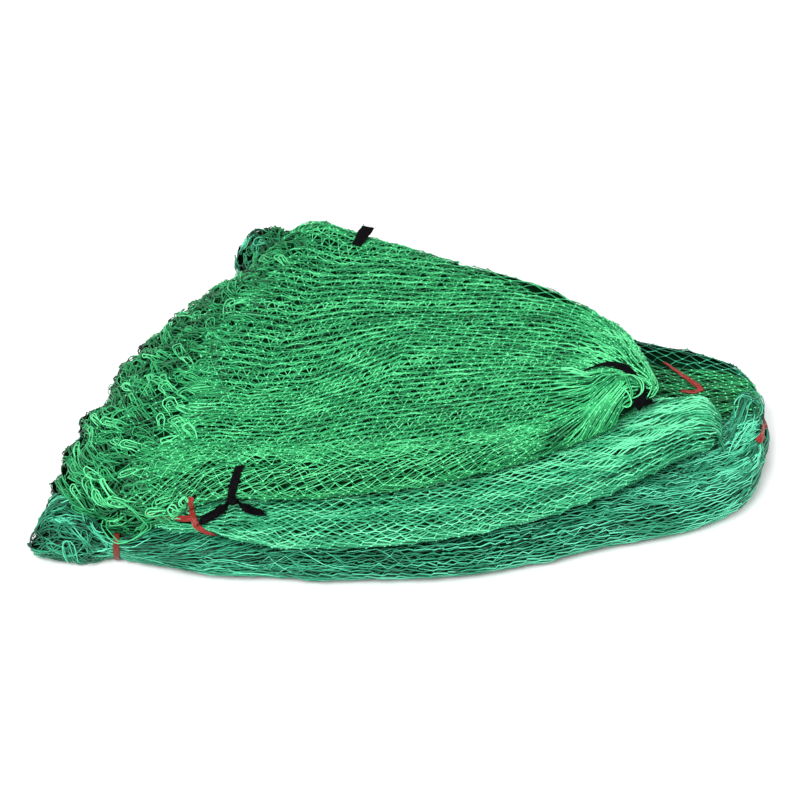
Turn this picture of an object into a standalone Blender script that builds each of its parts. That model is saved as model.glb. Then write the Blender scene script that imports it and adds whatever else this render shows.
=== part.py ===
"""Fishing net: a knotted twine net folded back and forth in three tiers and tied with tape and ribbon.

The bottom and middle tiers are long hanks of gathered netting. The top tier is a fan: gathered into a neck
at its right end and spread out at its left, where it slumps to the ground in a ruffled frill that joins the
tiers. Lengths in the tables are in millimetres. X runs along the hanks, Y to the back and Z up, with the
origin on the ground under the middle of the bundle.
"""

import math
from collections import namedtuple

import bmesh
import bpy
from mathutils import Vector
from mathutils.bvhtree import BVHTree

MM = 0.001

# The tables are drawn round a point at the middle of the fan; this moves them onto the origin.
CENTRE_X = 9.8
CENTRE_Y = 9.5

GROUND_GAP = 1.5          # what the frill keeps to the ground, under which the bottom tier rests
EDGE_ROUND = 24.0         # how far in from its edge a tier reaches its full thickness
EDGE_ANGLES = (0, 30, 60)  # where the loft's points lie on the round of an edge, in degrees
BOW_SKEW = 0.6            # how much further the frill bows out towards its front
EDGE_LEVEL = 0.45         # height of a tier's edge within its thickness
STEPS_PER_ROW = 3         # loft sections for each row of a table

TAPE_WIDTH = 10.0
RIBBON_WIDTH = 7.0
TIE_THICKNESS = 1.2
TIE_GAP = 0.8             # what a tie lying on the net keeps to it
NECK_GAP = 0.5            # what the ribbon round the bottom hank's neck keeps to it

Section = namedtuple(
    "Section",
    "front_x front_y back_x back_y bow under_front under_back top_front top_back crown",
)

# Each row is one section across a tier, from its front edge to its back edge. bow curves the section's line
# to the left, under_* and top_* are the heights of its lower and upper sides, and crown lifts its middle.
BOTTOM_TIER = [
    Section(-370, -193, -369, -176, 0, 3, 3, 12, 12, 0),
    Section(-354, -206, -350, -128, 0, 1, 1, 24, 26, 2),
    Section(-325, -210, -322, -140, 0, 0, 0, 27, 29, 2),
    Section(-302, -211, -300, -171, 0, 2, 2, 29, 29, 0),
    Section(-289, -211, -288, -186, 0, 3, 3, 29, 29, 0),
    Section(-279, -212, -278, -187, 0, 3, 3, 29, 29, 0),
    Section(-264, -216, -262, -180, 0, 2, 2, 32, 32, 0),
    Section(-225, -226, -222, -140, 0, 0, 0, 36, 36, 0),
    Section(-180, -234, -178, -40, 0, 0, 0, 37, 36, 0),
    Section(-120, -240, -118, 120, 0, 0, 0, 37, 36, 0),
    Section(-40, -243, -40, 176, 0, 0, 0, 37, 36, 0),
    Section(50, -241, 50, 172, 0, 0, 0, 37, 36, 0),
    Section(135, -227, 135, 154, 0, 0, 0, 37, 35, 0),
    Section(210, -202, 212, 122, 0, 0, 0, 37, 33, 0),
    Section(265, -184, 268, 94, 0, 0, 0, 37, 31, 0),
    Section(315, -161, 322, 80, 0, 0, 0, 38, 30, 2),
    Section(353, -135, 362, 58, 0, 0, 0, 42, 29, 5),
    Section(376, -97, 380, 28, 0, 0, 0, 42, 30, 5),
    Section(387, -66, 388, -14, 0, 6, 6, 34, 30, 0),
]

MIDDLE_TIER = [
    Section(-258, -184, -250, -140, 0, 22, 22, 50, 50, 0),
    Section(-232, -198, -226, -150, 0, 32, 32, 58, 58, 0),
    Section(-204, -209, -200, -172, 0, 42, 42, 64, 64, 0),
    Section(-192, -211, -189, -168, 0, 42, 42, 65, 65, 0),
    Section(-165, -220, -160, -130, 0, 42, 42, 67, 68, 0),
    Section(-120, -231, -116, -90, 0, 42, 42, 70, 71, 0),
    Section(-50, -233, -48, -72, 0, 42, 42, 72, 72, 0),
    Section(40, -222, 42, -60, 0, 42, 42, 72, 72, 0),
    Section(120, -199, 128, -48, 0, 42, 42, 73, 73, 0),
    Section(190, -170, 205, -38, 0, 42, 42, 73, 73, 0),
    Section(250, -133, 265, -32, 0, 42, 42, 74, 74, 0),
    Section(300, -96, 312, -29, 0, 43, 43, 73, 73, 2),
    Section(326, -76, 333, -33, 0, 46, 46, 68, 68, 0),
    Section(338, -61, 340, -44, 0, 51, 51, 61, 61, 0),
]

TOP_TIER = [
    Section(-361, -130, -152, 262, 29, 7, 12, 12, 26, 3),
    Section(-346, -150, -144, 262, 29, GROUND_GAP, GROUND_GAP, 30, 46, 8),
    Section(-302, -176, -130, 258, 28, GROUND_GAP, GROUND_GAP, 58, 66, 10),
    Section(-240, -194, -104, 250, 24, 24, 8, 84, 88, 8),
    Section(-190, -198, -58, 228, 14, 71, 20, 96, 94, 8),
    Section(-139, -199, 4, 202, 4, 76, 42, 102, 96, 10),
    Section(-60, -196, 66, 176, 0, 78, 46, 106, 94, 10),
    Section(19, -183, 120, 150, 0, 78, 46, 107, 92, 9),
    Section(100, -156, 170, 120, 0, 78, 46, 106, 88, 8),
    Section(161, -127, 212, 86, 0, 78, 46, 104, 84, 8),
    Section(208, -100, 243, 46, 0, 78, 48, 104, 84, 7),
    Section(238, -77, 259, 2, 0, 79, 58, 104, 86, 4),
    Section(256, -60, 265, -28, 0, 83, 74, 97, 90, 0),
]

BOTTOM_SPANS = 6          # loft spans across each tier, between its round edges
MIDDLE_SPANS = 3
TOP_SPANS = 26

# The frill's edge runs in and out in uneven lobes that fade out towards the fan.
FRILL_LOBES = 8.5
FRILL_DEPTH = 13.0
FRILL_LIFT = 7.0
FRILL_FADE = 2.6          # rows of the table over which the lobes fade out
LOBE_MIDDLE = 0.6         # the part of a lobe that lies inside the table's outline
LOBE_SPACING_WAVES = [(0.9, 5.1, 0.6), (0.5, 11.3, 0.0)]  # height, angle across the frill, start
LOBE_SIZE_WAVE = (0.28, 7.7)                              # height, angle across the frill

# Soft folds across the fan's upper side, which begin inside the frill and lean towards the neck.
FOLD_HEIGHT = 3.0
FOLD_COUNT = 2.5
FOLD_LEAN = 0.06
FOLD_START = 2.5          # the row of the table where they begin
FOLD_GROWTH = 3.0         # rows over which they reach their full height

# Ties. A route's points lie close to the net and are brought onto it; lift holds one above it.
Point = namedtuple("Point", "x y z lift")

TAPE_FRONT_UP = [
    Point(-164, -202, 88, 0),
    Point(-163, -196, 94, 0),
    Point(-162, -188, 97, 0),
    Point(-159, -179, 100, 0),
    Point(-155, -169, 102, 0),
]
TAPE_FRONT_LEFT = [
    Point(-170, -204, 81, 0),
    Point(-177, -205, 70, 0),
    Point(-186, -204, 66, 0),
    Point(-193, -205, 63.5, 0),
]
TAPE_FRONT_RIGHT = [
    Point(-158, -204, 81, 0),
    Point(-153, -206, 71, 0),
    Point(-146, -206, 69, 0),
    Point(-135, -209, 69, 0),
]
TAPE_KNOT = Point(-164, -204, 84, 0)
TAPE_KNOT_SIZE = (14.0, 12.0, 7.0)
TAPE_NECK = [
    Point(194, -31, 103, 0),
    Point(205, -20, 99, 0),
    Point(219, -15, 98, 0),
    Point(231, -19, 98, 0),
    Point(240, -31, 98, 0.4),
    Point(246, -44, 97, 1.6),
    Point(247, -57, 96, 2.2),
    Point(244, -67, 92, 1.8),
    Point(237, -75, 90, 0.6),
]
TAPE_BACK = [
    Point(-53, 188, 98, 0),
    Point(-46, 198, 97, 0),
    Point(-41, 206, 95, 3),
    Point(-38, 211, 92, 12),
]
RIBBON_MIDDLE = [
    Point(-205, -200, 64, 0.4),
    Point(-202, -204, 61, 0.3),
    Point(-197, -209, 56, 0.3),
    Point(-190, -212, 51, 0.4),
    Point(-182, -214, 47, 0.4),
]
RIBBON_MIDDLE_TAIL = [
    Point(-200, -207, 58, 0.6),
    Point(-211, -204, 57, 1.0),
    Point(-224, -199, 54, 0.9),
    Point(-237, -196, 54, 0.7),
    Point(-249, -192, 53, 0.4),
]
RIBBON_V_LONG = [Point(287, 60, 31, 0), Point(302, 43, 32, 0), Point(314, 29, 33, 0), Point(323, 16, 34, 0)]
RIBBON_V_SHORT = [Point(324, 18, 34, 0.6), Point(313, 14, 33, 0.6), Point(300, 16, 33, 0)]
RIBBON_END = [Point(387, -34, 30, 0), Point(386, -47, 36, 0), Point(380, -60, 41, 0), Point(372, -73, 44, 0)]
RIBBON_NECK_FROM = 4.15   # rows of the bottom tier between which its neck's ribbon lies
RIBBON_NECK_TO = 4.85


def clear_scene():
    for obj in list(bpy.data.objects):
        bpy.data.objects.remove(obj)


def material(name, colour, roughness, metallic=0.0):
    made = bpy.data.materials.new(name)
    made.use_nodes = True
    shader = made.node_tree.nodes["Principled BSDF"]
    shader.inputs["Base Color"].default_value = (*colour, 1.0)
    shader.inputs["Roughness"].default_value = roughness
    shader.inputs["Metallic"].default_value = metallic
    return made


def placed(x, y, z):
    """A point of the tables, in metres and in the finished part's frame."""
    return Vector(((x - CENTRE_X) * MM, (y - CENTRE_Y) * MM, z * MM))


def between(rows, place):
    """The section at a fractional row number, on a smooth curve through the rows of a table."""
    first = min(int(place), len(rows) - 2)
    u = place - first
    a, b, c, d = (rows[min(max(first + k, 0), len(rows) - 1)] for k in (-1, 0, 1, 2))
    return Section(*(
        0.5 * (2 * q + (r - p) * u + (2 * p - 5 * q + 4 * r - s) * u ** 2 + (3 * q - p - 3 * r + s) * u ** 3)
        for p, q, r, s in zip(a, b, c, d)
    ))


def fractions_across(length, spans):
    """Fractions from the front edge to the back edge: round both edges, and even spans between them."""
    inward = min(EDGE_ROUND / length, 0.4)
    edge = [inward * (1 - math.cos(math.radians(angle))) for angle in EDGE_ANGLES]
    middle = [inward + (1 - 2 * inward) * i / spans for i in range(spans + 1)]
    return edge + middle + [1 - fraction for fraction in reversed(edge)]


def lobe(across):
    """How far the frill's edge stands out at a fraction across it, from 0 to 1."""
    wander = sum(height * math.sin(angle * across + start) for height, angle, start in LOBE_SPACING_WAVES)
    height, angle = LOBE_SIZE_WAVE
    size = 1 - height + height * math.sin(angle * across)
    return abs(math.sin(math.pi * FRILL_LOBES * across + wander)) * size


def even_shape(place, across):
    """No offsets, for the tiers whose tables say it all."""
    return 0.0, 0.0


def frill_and_folds(place, across):
    """(outward, upward) offsets of the top tier: the frill's lobes, then the fan's soft folds."""
    fade = max(0.0, 1.0 - place / FRILL_FADE)
    out = fade * FRILL_DEPTH * (lobe(across) - LOBE_MIDDLE)
    up = fade * FRILL_LIFT * lobe(across)
    inner = min(1.0, max(0.0, (place - FOLD_START) / FOLD_GROWTH)) * math.sin(math.pi * across)
    fold = FOLD_HEIGHT * inner * math.sin(2 * math.pi * FOLD_COUNT * (across + FOLD_LEAN * place))
    return out, up + fold


def section_sides(section, place, spans, shape):
    """The upper and the lower side of one section, each as points from its front edge to its back edge."""
    front = Vector((section.front_x, section.front_y))
    line = Vector((section.back_x, section.back_y)) - front
    left = Vector((-line.y, line.x)).normalized()
    edge_round = min(EDGE_ROUND, 0.4 * line.length)
    upper = []
    lower = []
    for across in fractions_across(line.length, spans):
        arch = 4 * across * (1 - across)
        bow = section.bow * arch * (1 + BOW_SKEW * (1 - 2 * across))
        out, up = shape(place, across)
        at = front + line * across + left * (bow + out)
        under = max(0.0, section.under_front + (section.under_back - section.under_front) * across)
        top = section.top_front + (section.top_back - section.top_front) * across + section.crown * arch + up
        level = under + EDGE_LEVEL * (top - under)
        inward = 1 - min(1.0, min(across, 1 - across) * line.length / edge_round)
        full = math.sqrt(1 - inward ** 2)
        upper.append(placed(at.x, at.y, level + (top - level) * full))
        lower.append(placed(at.x, at.y, level - (level - under) * full))
    return upper, lower


def tier(name, rows, spans, shape=even_shape):
    """A closed loft through the sections of a table."""
    mesh = bmesh.new()
    sections = []
    for step in range((len(rows) - 1) * STEPS_PER_ROW + 1):
        place = step / STEPS_PER_ROW
        upper, lower = section_sides(between(rows, place), place, spans, shape)
        top = [mesh.verts.new(point) for point in upper]
        bottom = [top[0], *(mesh.verts.new(point) for point in lower[1:-1]), top[-1]]
        sections.append((top, bottom))
    for (top, bottom), (next_top, next_bottom) in zip(sections, sections[1:]):
        for i in range(len(top) - 1):
            mesh.faces.new((top[i], next_top[i], next_top[i + 1], top[i + 1]))
            mesh.faces.new((bottom[i], bottom[i + 1], next_bottom[i + 1], next_bottom[i]))
    for top, bottom in (sections[0], sections[-1]):
        for i in range(len(top) - 1):
            corners = dict.fromkeys((top[i], top[i + 1], bottom[i + 1], bottom[i]))
            mesh.faces.new(tuple(corners))
    bmesh.ops.recalc_face_normals(mesh, faces=mesh.faces[:])
    return new_object(name, mesh)


def new_object(name, mesh):
    data = bpy.data.meshes.new(name)
    mesh.to_mesh(data)
    mesh.free()
    data.shade_smooth()
    made = bpy.data.objects.new(name, data)
    bpy.context.scene.collection.objects.link(made)
    return made


def join_by_union(whole, other, solver="EXACT"):
    """Joins the other shape to the first one, and leaves the other as a hidden helper."""
    joint = whole.modifiers.new("Join " + other.name, "BOOLEAN")
    joint.operation = "UNION"
    joint.solver = solver
    joint.object = other
    other.hide_render = True
    other.display_type = "WIRE"


def net_surface(net):
    """A search tree over the finished net, from which the ties take their places."""
    return BVHTree.FromObject(net, bpy.context.evaluated_depsgraph_get())


def smooth_route(route, spans):
    """Points on a smooth curve through a tie's route, and how far each is lifted above the net."""
    found = []
    for step in range((len(route) - 1) * spans + 1):
        first = min(step // spans, len(route) - 2)
        u = step / spans - first
        a, b, c, d = (route[min(max(first + k, 0), len(route) - 1)] for k in (-1, 0, 1, 2))
        curved = Point(*(
            0.5 * (2 * q + (r - p) * u + (2 * p - 5 * q + 4 * r - s) * u ** 2 + (3 * q - p - 3 * r + s) * u ** 3)
            for p, q, r, s in zip(a, b, c, d)
        ))
        found.append((placed(curved.x, curved.y, curved.z), max(0.0, curved.lift) * MM))
    return found


def ribbon(name, surface, route, width, spans=3):
    """A flat strip lying on the net along a route, as a closed loft of flat sections."""
    laid = []
    for point, lift in smooth_route(route, spans):
        nearest, normal, _, _ = surface.find_nearest(point)
        laid.append((nearest, normal, lift))
    mesh = bmesh.new()
    sections = []
    for i, (centre, _, lift) in enumerate(laid):
        near = laid[max(i - 1, 0):i + 2]
        up = sum((normal for _, normal, _ in near), Vector()).normalized()
        ahead = near[-1][0] - near[0][0]
        side = ahead.cross(up).normalized() * (width * MM / 2)
        lower = []
        for part in (-1, 0, 1):
            touched, _, _, _ = surface.find_nearest(centre + side * part)
            lower.append(touched + up * (TIE_GAP * MM + lift))
        upper = [point + up * (TIE_THICKNESS * MM) for point in reversed(lower)]
        sections.append([mesh.verts.new(point) for point in lower + upper])
    for ring, next_ring in zip(sections, sections[1:]):
        for i in range(6):
            mesh.faces.new((ring[i], ring[(i + 1) % 6], next_ring[(i + 1) % 6], next_ring[i]))
    for ring in (sections[0], sections[-1]):
        mesh.faces.new((ring[0], ring[1], ring[4], ring[5]))
        mesh.faces.new((ring[1], ring[2], ring[3], ring[4]))
    bmesh.ops.recalc_face_normals(mesh, faces=mesh.faces[:])
    return new_object(name, mesh)


def knot(name, surface, point, size):
    """The lump of a tie's knot: a rounded block standing on the net."""
    nearest, normal, _, _ = surface.find_nearest(placed(point.x, point.y, point.z))
    mesh = bmesh.new()
    bmesh.ops.create_cube(mesh, size=1)
    bmesh.ops.scale(mesh, vec=[side * MM for side in size], verts=mesh.verts)
    bmesh.ops.bevel(mesh, geom=mesh.edges[:], offset=min(size) * MM * 0.3, segments=2, affect="EDGES")
    made = new_object(name, mesh)
    made.rotation_mode = "QUATERNION"
    made.rotation_quaternion = Vector((0, 0, 1)).rotation_difference(normal)
    made.location = nearest + normal * (TIE_GAP + size[2] / 2) * MM
    return made


def outline(rows, place, spans, gap):
    """The closed outline of a tier's section, moved out by a gap, for a band round its neck."""
    upper, lower = section_sides(between(rows, place), place, spans, even_shape)
    loop = upper + lower[-2:0:-1]
    ahead = (upper[-1] - upper[0]).normalized()
    moved = []
    for i, point in enumerate(loop):
        along = (loop[(i + 1) % len(loop)] - loop[i - 1]).normalized()
        across, rise = along.dot(ahead), along.z
        moved.append(point + (Vector((0, 0, 1)) * across - ahead * rise) * gap * MM)
    return moved


def band(name, rows, first, last, spans):
    """A flat ribbon all the way round a hank's neck, between two fractional row numbers of its table."""
    inner, outer = NECK_GAP, NECK_GAP + TIE_THICKNESS
    corners = [(first, inner), (last, inner), (last, outer), (first, outer)]
    mesh = bmesh.new()
    loops = []
    for place, gap in corners:
        loops.append([mesh.verts.new(point) for point in outline(rows, place, spans, gap)])
    for loop, next_loop in zip(loops, loops[1:] + loops[:1]):
        for i in range(len(loop)):
            following = (i + 1) % len(loop)
            mesh.faces.new((loop[i], loop[following], next_loop[following], next_loop[i]))
    bmesh.ops.recalc_face_normals(mesh, faces=mesh.faces[:])
    return new_object(name, mesh)


def make_net(twine):
    net = tier("net", BOTTOM_TIER, BOTTOM_SPANS)
    net.data.materials.append(twine)
    join_by_union(net, tier("middle_tier", MIDDLE_TIER, MIDDLE_SPANS))
    join_by_union(net, tier("top_tier", TOP_TIER, TOP_SPANS, frill_and_folds))
    return net


def make_black_ties(surface, tape):
    """The exact solver loses arms that lie almost flat on each other under the knot, so these use the other."""
    front = ribbon("black_tie_front", surface, TAPE_FRONT_UP, TAPE_WIDTH)
    join_by_union(front, knot("front_knot", surface, TAPE_KNOT, TAPE_KNOT_SIZE), "MANIFOLD")
    join_by_union(front, ribbon("front_arm_left", surface, TAPE_FRONT_LEFT, TAPE_WIDTH), "MANIFOLD")
    join_by_union(front, ribbon("front_arm_right", surface, TAPE_FRONT_RIGHT, TAPE_WIDTH), "MANIFOLD")
    neck = ribbon("black_tie_neck", surface, TAPE_NECK, TAPE_WIDTH)
    back = ribbon("black_tie_back", surface, TAPE_BACK, TAPE_WIDTH)
    for tie in (front, neck, back):
        tie.data.materials.append(tape)


def make_red_ties(surface, plastic):
    lower = band("red_tie_lower", BOTTOM_TIER, RIBBON_NECK_FROM, RIBBON_NECK_TO, BOTTOM_SPANS)
    middle = ribbon("red_tie_middle_left", surface, RIBBON_MIDDLE, RIBBON_WIDTH)
    join_by_union(middle, ribbon("middle_tail", surface, RIBBON_MIDDLE_TAIL, RIBBON_WIDTH), "MANIFOLD")
    right = ribbon("red_tie_middle_right", surface, RIBBON_V_LONG, RIBBON_WIDTH)
    join_by_union(right, ribbon("short_end", surface, RIBBON_V_SHORT, RIBBON_WIDTH), "MANIFOLD")
    end = ribbon("red_tie_right_end", surface, RIBBON_END, RIBBON_WIDTH)
    for tie in (lower, middle, right, end):
        tie.data.materials.append(plastic)


clear_scene()
net = make_net(material("net_twine", (0.02, 0.42, 0.13), 0.5))
surface = net_surface(net)
make_black_ties(surface, material("black_tape", (0.012, 0.012, 0.016), 0.75))
make_red_ties(surface, material("red_ribbon", (0.72, 0.05, 0.03), 0.35))
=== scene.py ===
"""Looks of the folded fishing net: knotted twine strands over dark folded netting, with tape and ribbon ties.

Lengths are in millimetres until a mesh is made, and MM turns them into metres. The tiers' tables follow
those of the CAD source, with the bulges that only the netting shows, and CENTRE moves them onto the part's
origin. Pieces are gathered in the heap one after another, and put, tie_piece and inside make them of it.
"""
import math

import bmesh
import bpy
import numpy as np
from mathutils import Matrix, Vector
from mathutils.bvhtree import BVHTree
from mathutils.kdtree import KDTree


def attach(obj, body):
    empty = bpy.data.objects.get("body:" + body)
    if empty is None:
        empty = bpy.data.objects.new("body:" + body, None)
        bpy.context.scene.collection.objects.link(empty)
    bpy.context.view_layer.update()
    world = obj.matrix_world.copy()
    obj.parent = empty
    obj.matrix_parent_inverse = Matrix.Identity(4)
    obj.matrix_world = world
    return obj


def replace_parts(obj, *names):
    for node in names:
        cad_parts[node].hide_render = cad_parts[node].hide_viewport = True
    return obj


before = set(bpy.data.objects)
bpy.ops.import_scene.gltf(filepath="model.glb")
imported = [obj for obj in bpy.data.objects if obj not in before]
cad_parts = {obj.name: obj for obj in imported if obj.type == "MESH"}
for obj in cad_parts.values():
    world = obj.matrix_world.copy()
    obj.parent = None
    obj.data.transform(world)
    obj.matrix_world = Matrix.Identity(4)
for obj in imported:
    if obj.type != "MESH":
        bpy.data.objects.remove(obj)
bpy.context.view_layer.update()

MM = 0.001
CENTRE = np.array([9.8, 9.5, 0.0])

# ---------------------------------------------------------------- the tiers
EDGE_ROUND = 24.0         # how far in from its side edges a section curves down
EDGE_LEVEL = 0.45         # the height of those edges, from 0 at the section's underside to 1 at its top
BOW_SKEW = 0.6            # how much stronger an end's bow is at the front than at the back
LIP = 0.7                 # how far a tier's closed end stands out, for each millimetre of half its thickness

# front x, front y, back x, back y, bow, under front, under back, top front, top back, crown
BOTTOM_TIER = np.array([
    (-370, -193, -369, -176, 0, 3, 3, 12, 12, 0),
    (-354, -206, -350, -128, 0, 1, 1, 24, 26, 2),
    (-325, -210, -322, -140, 0, 0, 0, 27, 29, 2),
    (-302, -211, -300, -171, 0, 2, 2, 29, 29, 0),
    (-289, -208, -288, -186, 0, 3, 3, 29, 29, 0),
    (-279, -209, -278, -187, 0, 3, 3, 29, 29, 0),
    (-264, -213, -262, -180, 0, 2, 2, 32, 32, 0),
    (-225, -223, -222, -140, 0, 0, 0, 36, 36, 0),
    (-180, -231, -178, -40, 0, 0, 0, 37, 36, 0),
    (-120, -236, -118, 120, 0, 0, 0, 37, 36, 0),
    (-40, -239, -40, 176, 0, 0, 0, 37, 36, 0),
    (50, -235, 50, 172, 0, 0, 0, 37, 36, 0),
    (135, -217, 135, 160, 0, 0, 0, 37, 35, 0),
    (210, -193, 212, 138, 0, 0, 0, 37, 33, 0),
    (265, -179, 268, 110, 0, 0, 0, 37, 31, 0),
    (315, -161, 322, 93, 0, 0, 0, 38, 30, 2),
    (353, -135, 362, 73, 0, 0, 0, 42, 29, 5),
    (373, -97, 380, 40, 0, 0, 0, 42, 30, 5),
    (380, -60, 384, -14, 0, 6, 6, 34, 30, 0),
], float)
MIDDLE_TIER = np.array([
    (-258, -184, -250, -140, 0, 22, 22, 50, 50, 0),
    (-232, -198, -226, -150, 0, 32, 32, 58, 58, 0),
    (-204, -209, -200, -172, 0, 42, 42, 64, 64, 0),
    (-192, -211, -189, -168, 0, 42, 42, 65, 65, 0),
    (-165, -220, -160, -130, 0, 42, 42, 67, 68, 0),
    (-120, -231, -116, -90, 0, 42, 42, 70, 71, 0),
    (-50, -233, -48, -72, 0, 42, 42, 72, 72, 0),
    (40, -222, 42, -60, 0, 42, 42, 72, 72, 0),
    (120, -199, 128, -48, 0, 42, 42, 73, 73, 0),
    (190, -170, 205, -38, 0, 42, 42, 73, 73, 0),
    (250, -133, 265, -32, 0, 42, 42, 74, 74, 0),
    (298, -99, 308, -27, 0, 42, 42, 73, 73, 3),
    (317, -92, 321, -29, 0, 42, 42, 69, 69, 3),
    (327, -80, 329, -37, 0, 46, 46, 61, 61, 0),
], float)
TOP_TIER = np.array([
    (-361, -130, -152, 262, 29, 7, 12, 12, 26, 3),
    (-346, -150, -144, 262, 29, 1.5, 1.5, 30, 46, 8),
    (-302, -176, -130, 258, 28, 1.5, 1.5, 58, 66, 10),
    (-240, -194, -104, 250, 24, 24, 8, 84, 88, 8),
    (-190, -198, -58, 228, 14, 71, 20, 96, 94, 8),
    (-139, -199, 4, 199, 4, 76, 42, 102, 96, 10),
    (-60, -196, 66, 170, 0, 78, 46, 106, 94, 10),
    (19, -183, 120, 150, 0, 78, 46, 107, 92, 9),
    (100, -156, 170, 125, 0, 78, 46, 106, 88, 8),
    (161, -127, 212, 96, 0, 78, 46, 104, 84, 8),
    (208, -100, 243, 59, 0, 78, 48, 104, 84, 7),
    (238, -77, 259, 11, 0, 79, 58, 104, 86, 4),
    (256, -60, 265, -28, 0, 83, 74, 97, 90, 0),
], float)
# The frill's lobes as its netting shows them, past the plain solid's: across, outward and upward millimetres.
BIG_LOBES = np.array([
    (0.00, -9, 0), (0.06, 0, 0), (0.10, -4, 0), (0.13, -6, 0), (0.17, 1, 0), (0.21, -4, 0), (0.25, -2, 0),
    (0.30, -12, 0), (0.35, 0, 0), (0.39, 0, 0), (0.42, 2, 0), (0.46, 14, 0), (0.50, 3, 0), (0.53, 12, 0),
    (0.57, 12, 0), (0.62, 14, 0), (0.66, 3, 0), (0.70, 12, 0), (0.74, 8, 0), (0.77, -8, 0), (0.80, -26, -4),
    (0.865, -33, -2), (0.885, -10, 5), (0.905, 2, 12), (0.94, 10, 21), (1.00, 10, 18),
])
# The humps and the dip of the fan's back rim: place, half length in rows, half width in turns, and height.
RIM_AT = 0.97
RIM_HUMPS = ((3.7, 0.7, 0.06, 7), (2.6, 0.4, 0.05, -13), (8.0, 1.9, 0.09, 4.5))


def rows_between(rows, place):
    """The sections at fractional row numbers, on smooth curves through the rows of a table."""
    first = np.minimum(place.astype(int), len(rows) - 2)
    u = (place - first)[:, None]
    a, b, c, d = (rows[np.clip(first + k, 0, len(rows) - 1)] for k in (-1, 0, 1, 2))
    square, cube = 2 * a - 5 * b + 4 * c - d, 3 * b - a - 3 * c + d
    return 0.5 * (2 * b + (c - a) * u + square * u ** 2 + cube * u ** 3)


def frill(place, across):
    """(outward, upward) offsets of the top tier: the frill's lobes, the fan's soft folds and its back rim."""
    wander = 0.9 * np.sin(5.1 * across + 0.6) + 0.5 * np.sin(11.3 * across)
    lobe = np.abs(np.sin(math.pi * 8.5 * across + wander)) * (0.72 + 0.28 * np.sin(7.7 * across))
    fade = np.maximum(0.0, 1.0 - place / 2.6)
    inner = np.clip((place - 2.5) / 3.0, 0, 1) * np.sin(math.pi * across)
    fold = 3.0 * inner * np.sin(2 * math.pi * 2.5 * (across + 0.06 * place))
    big_out, big_up = (np.interp(across, BIG_LOBES[:, 0], BIG_LOBES[:, k]) for k in (1, 2))
    out = fade * 13.0 * (lobe - 0.6) + np.clip(1.0 - place / 2.8, 0, 1) * big_out
    up = fade * 7.0 * lobe + fold + np.clip(1.25 - np.abs(place - 0.8) / 1.6, 0, 1) * big_up
    for middle, long, wide, high in RIM_HUMPS:
        up = up + high * np.exp(-((place - middle) / long) ** 2 - ((across - RIM_AT) / wide) ** 2)
    return out, up


def unit(vectors):
    return vectors / np.maximum(np.linalg.norm(vectors, axis=-1, keepdims=True), 1e-9)


def length_along(points, axis=0):
    """The length up to each point of lines that run along an axis."""
    steps = np.linalg.norm(np.diff(points, axis=axis), axis=-1)
    return np.concatenate([np.zeros_like(steps.take([0], axis)), np.cumsum(steps, axis)], axis)


def evenly_spaced(line, count):
    length = length_along(line)
    wanted = np.linspace(0, length[-1], count)
    return np.stack([np.interp(wanted, length, line[:, k]) for k in range(3)], 1)


def rings_joined(index):
    """Quads between neighbouring rings of point numbers. A ring is on the last axis."""
    near, far = index[..., :-1, :], index[..., 1:, :]
    return np.stack([near, far, np.roll(far, -1, -1), np.roll(near, -1, -1)], -1)


def value_at(value, place, *where):
    """A setting at some places. It is a number, a function, or places and their values to read between."""
    if callable(value):
        return value(place, *where)
    return np.interp(place, *value) if isinstance(value, tuple) else value + 0 * place


def straight(place, column):
    return column + 0 * place


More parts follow.
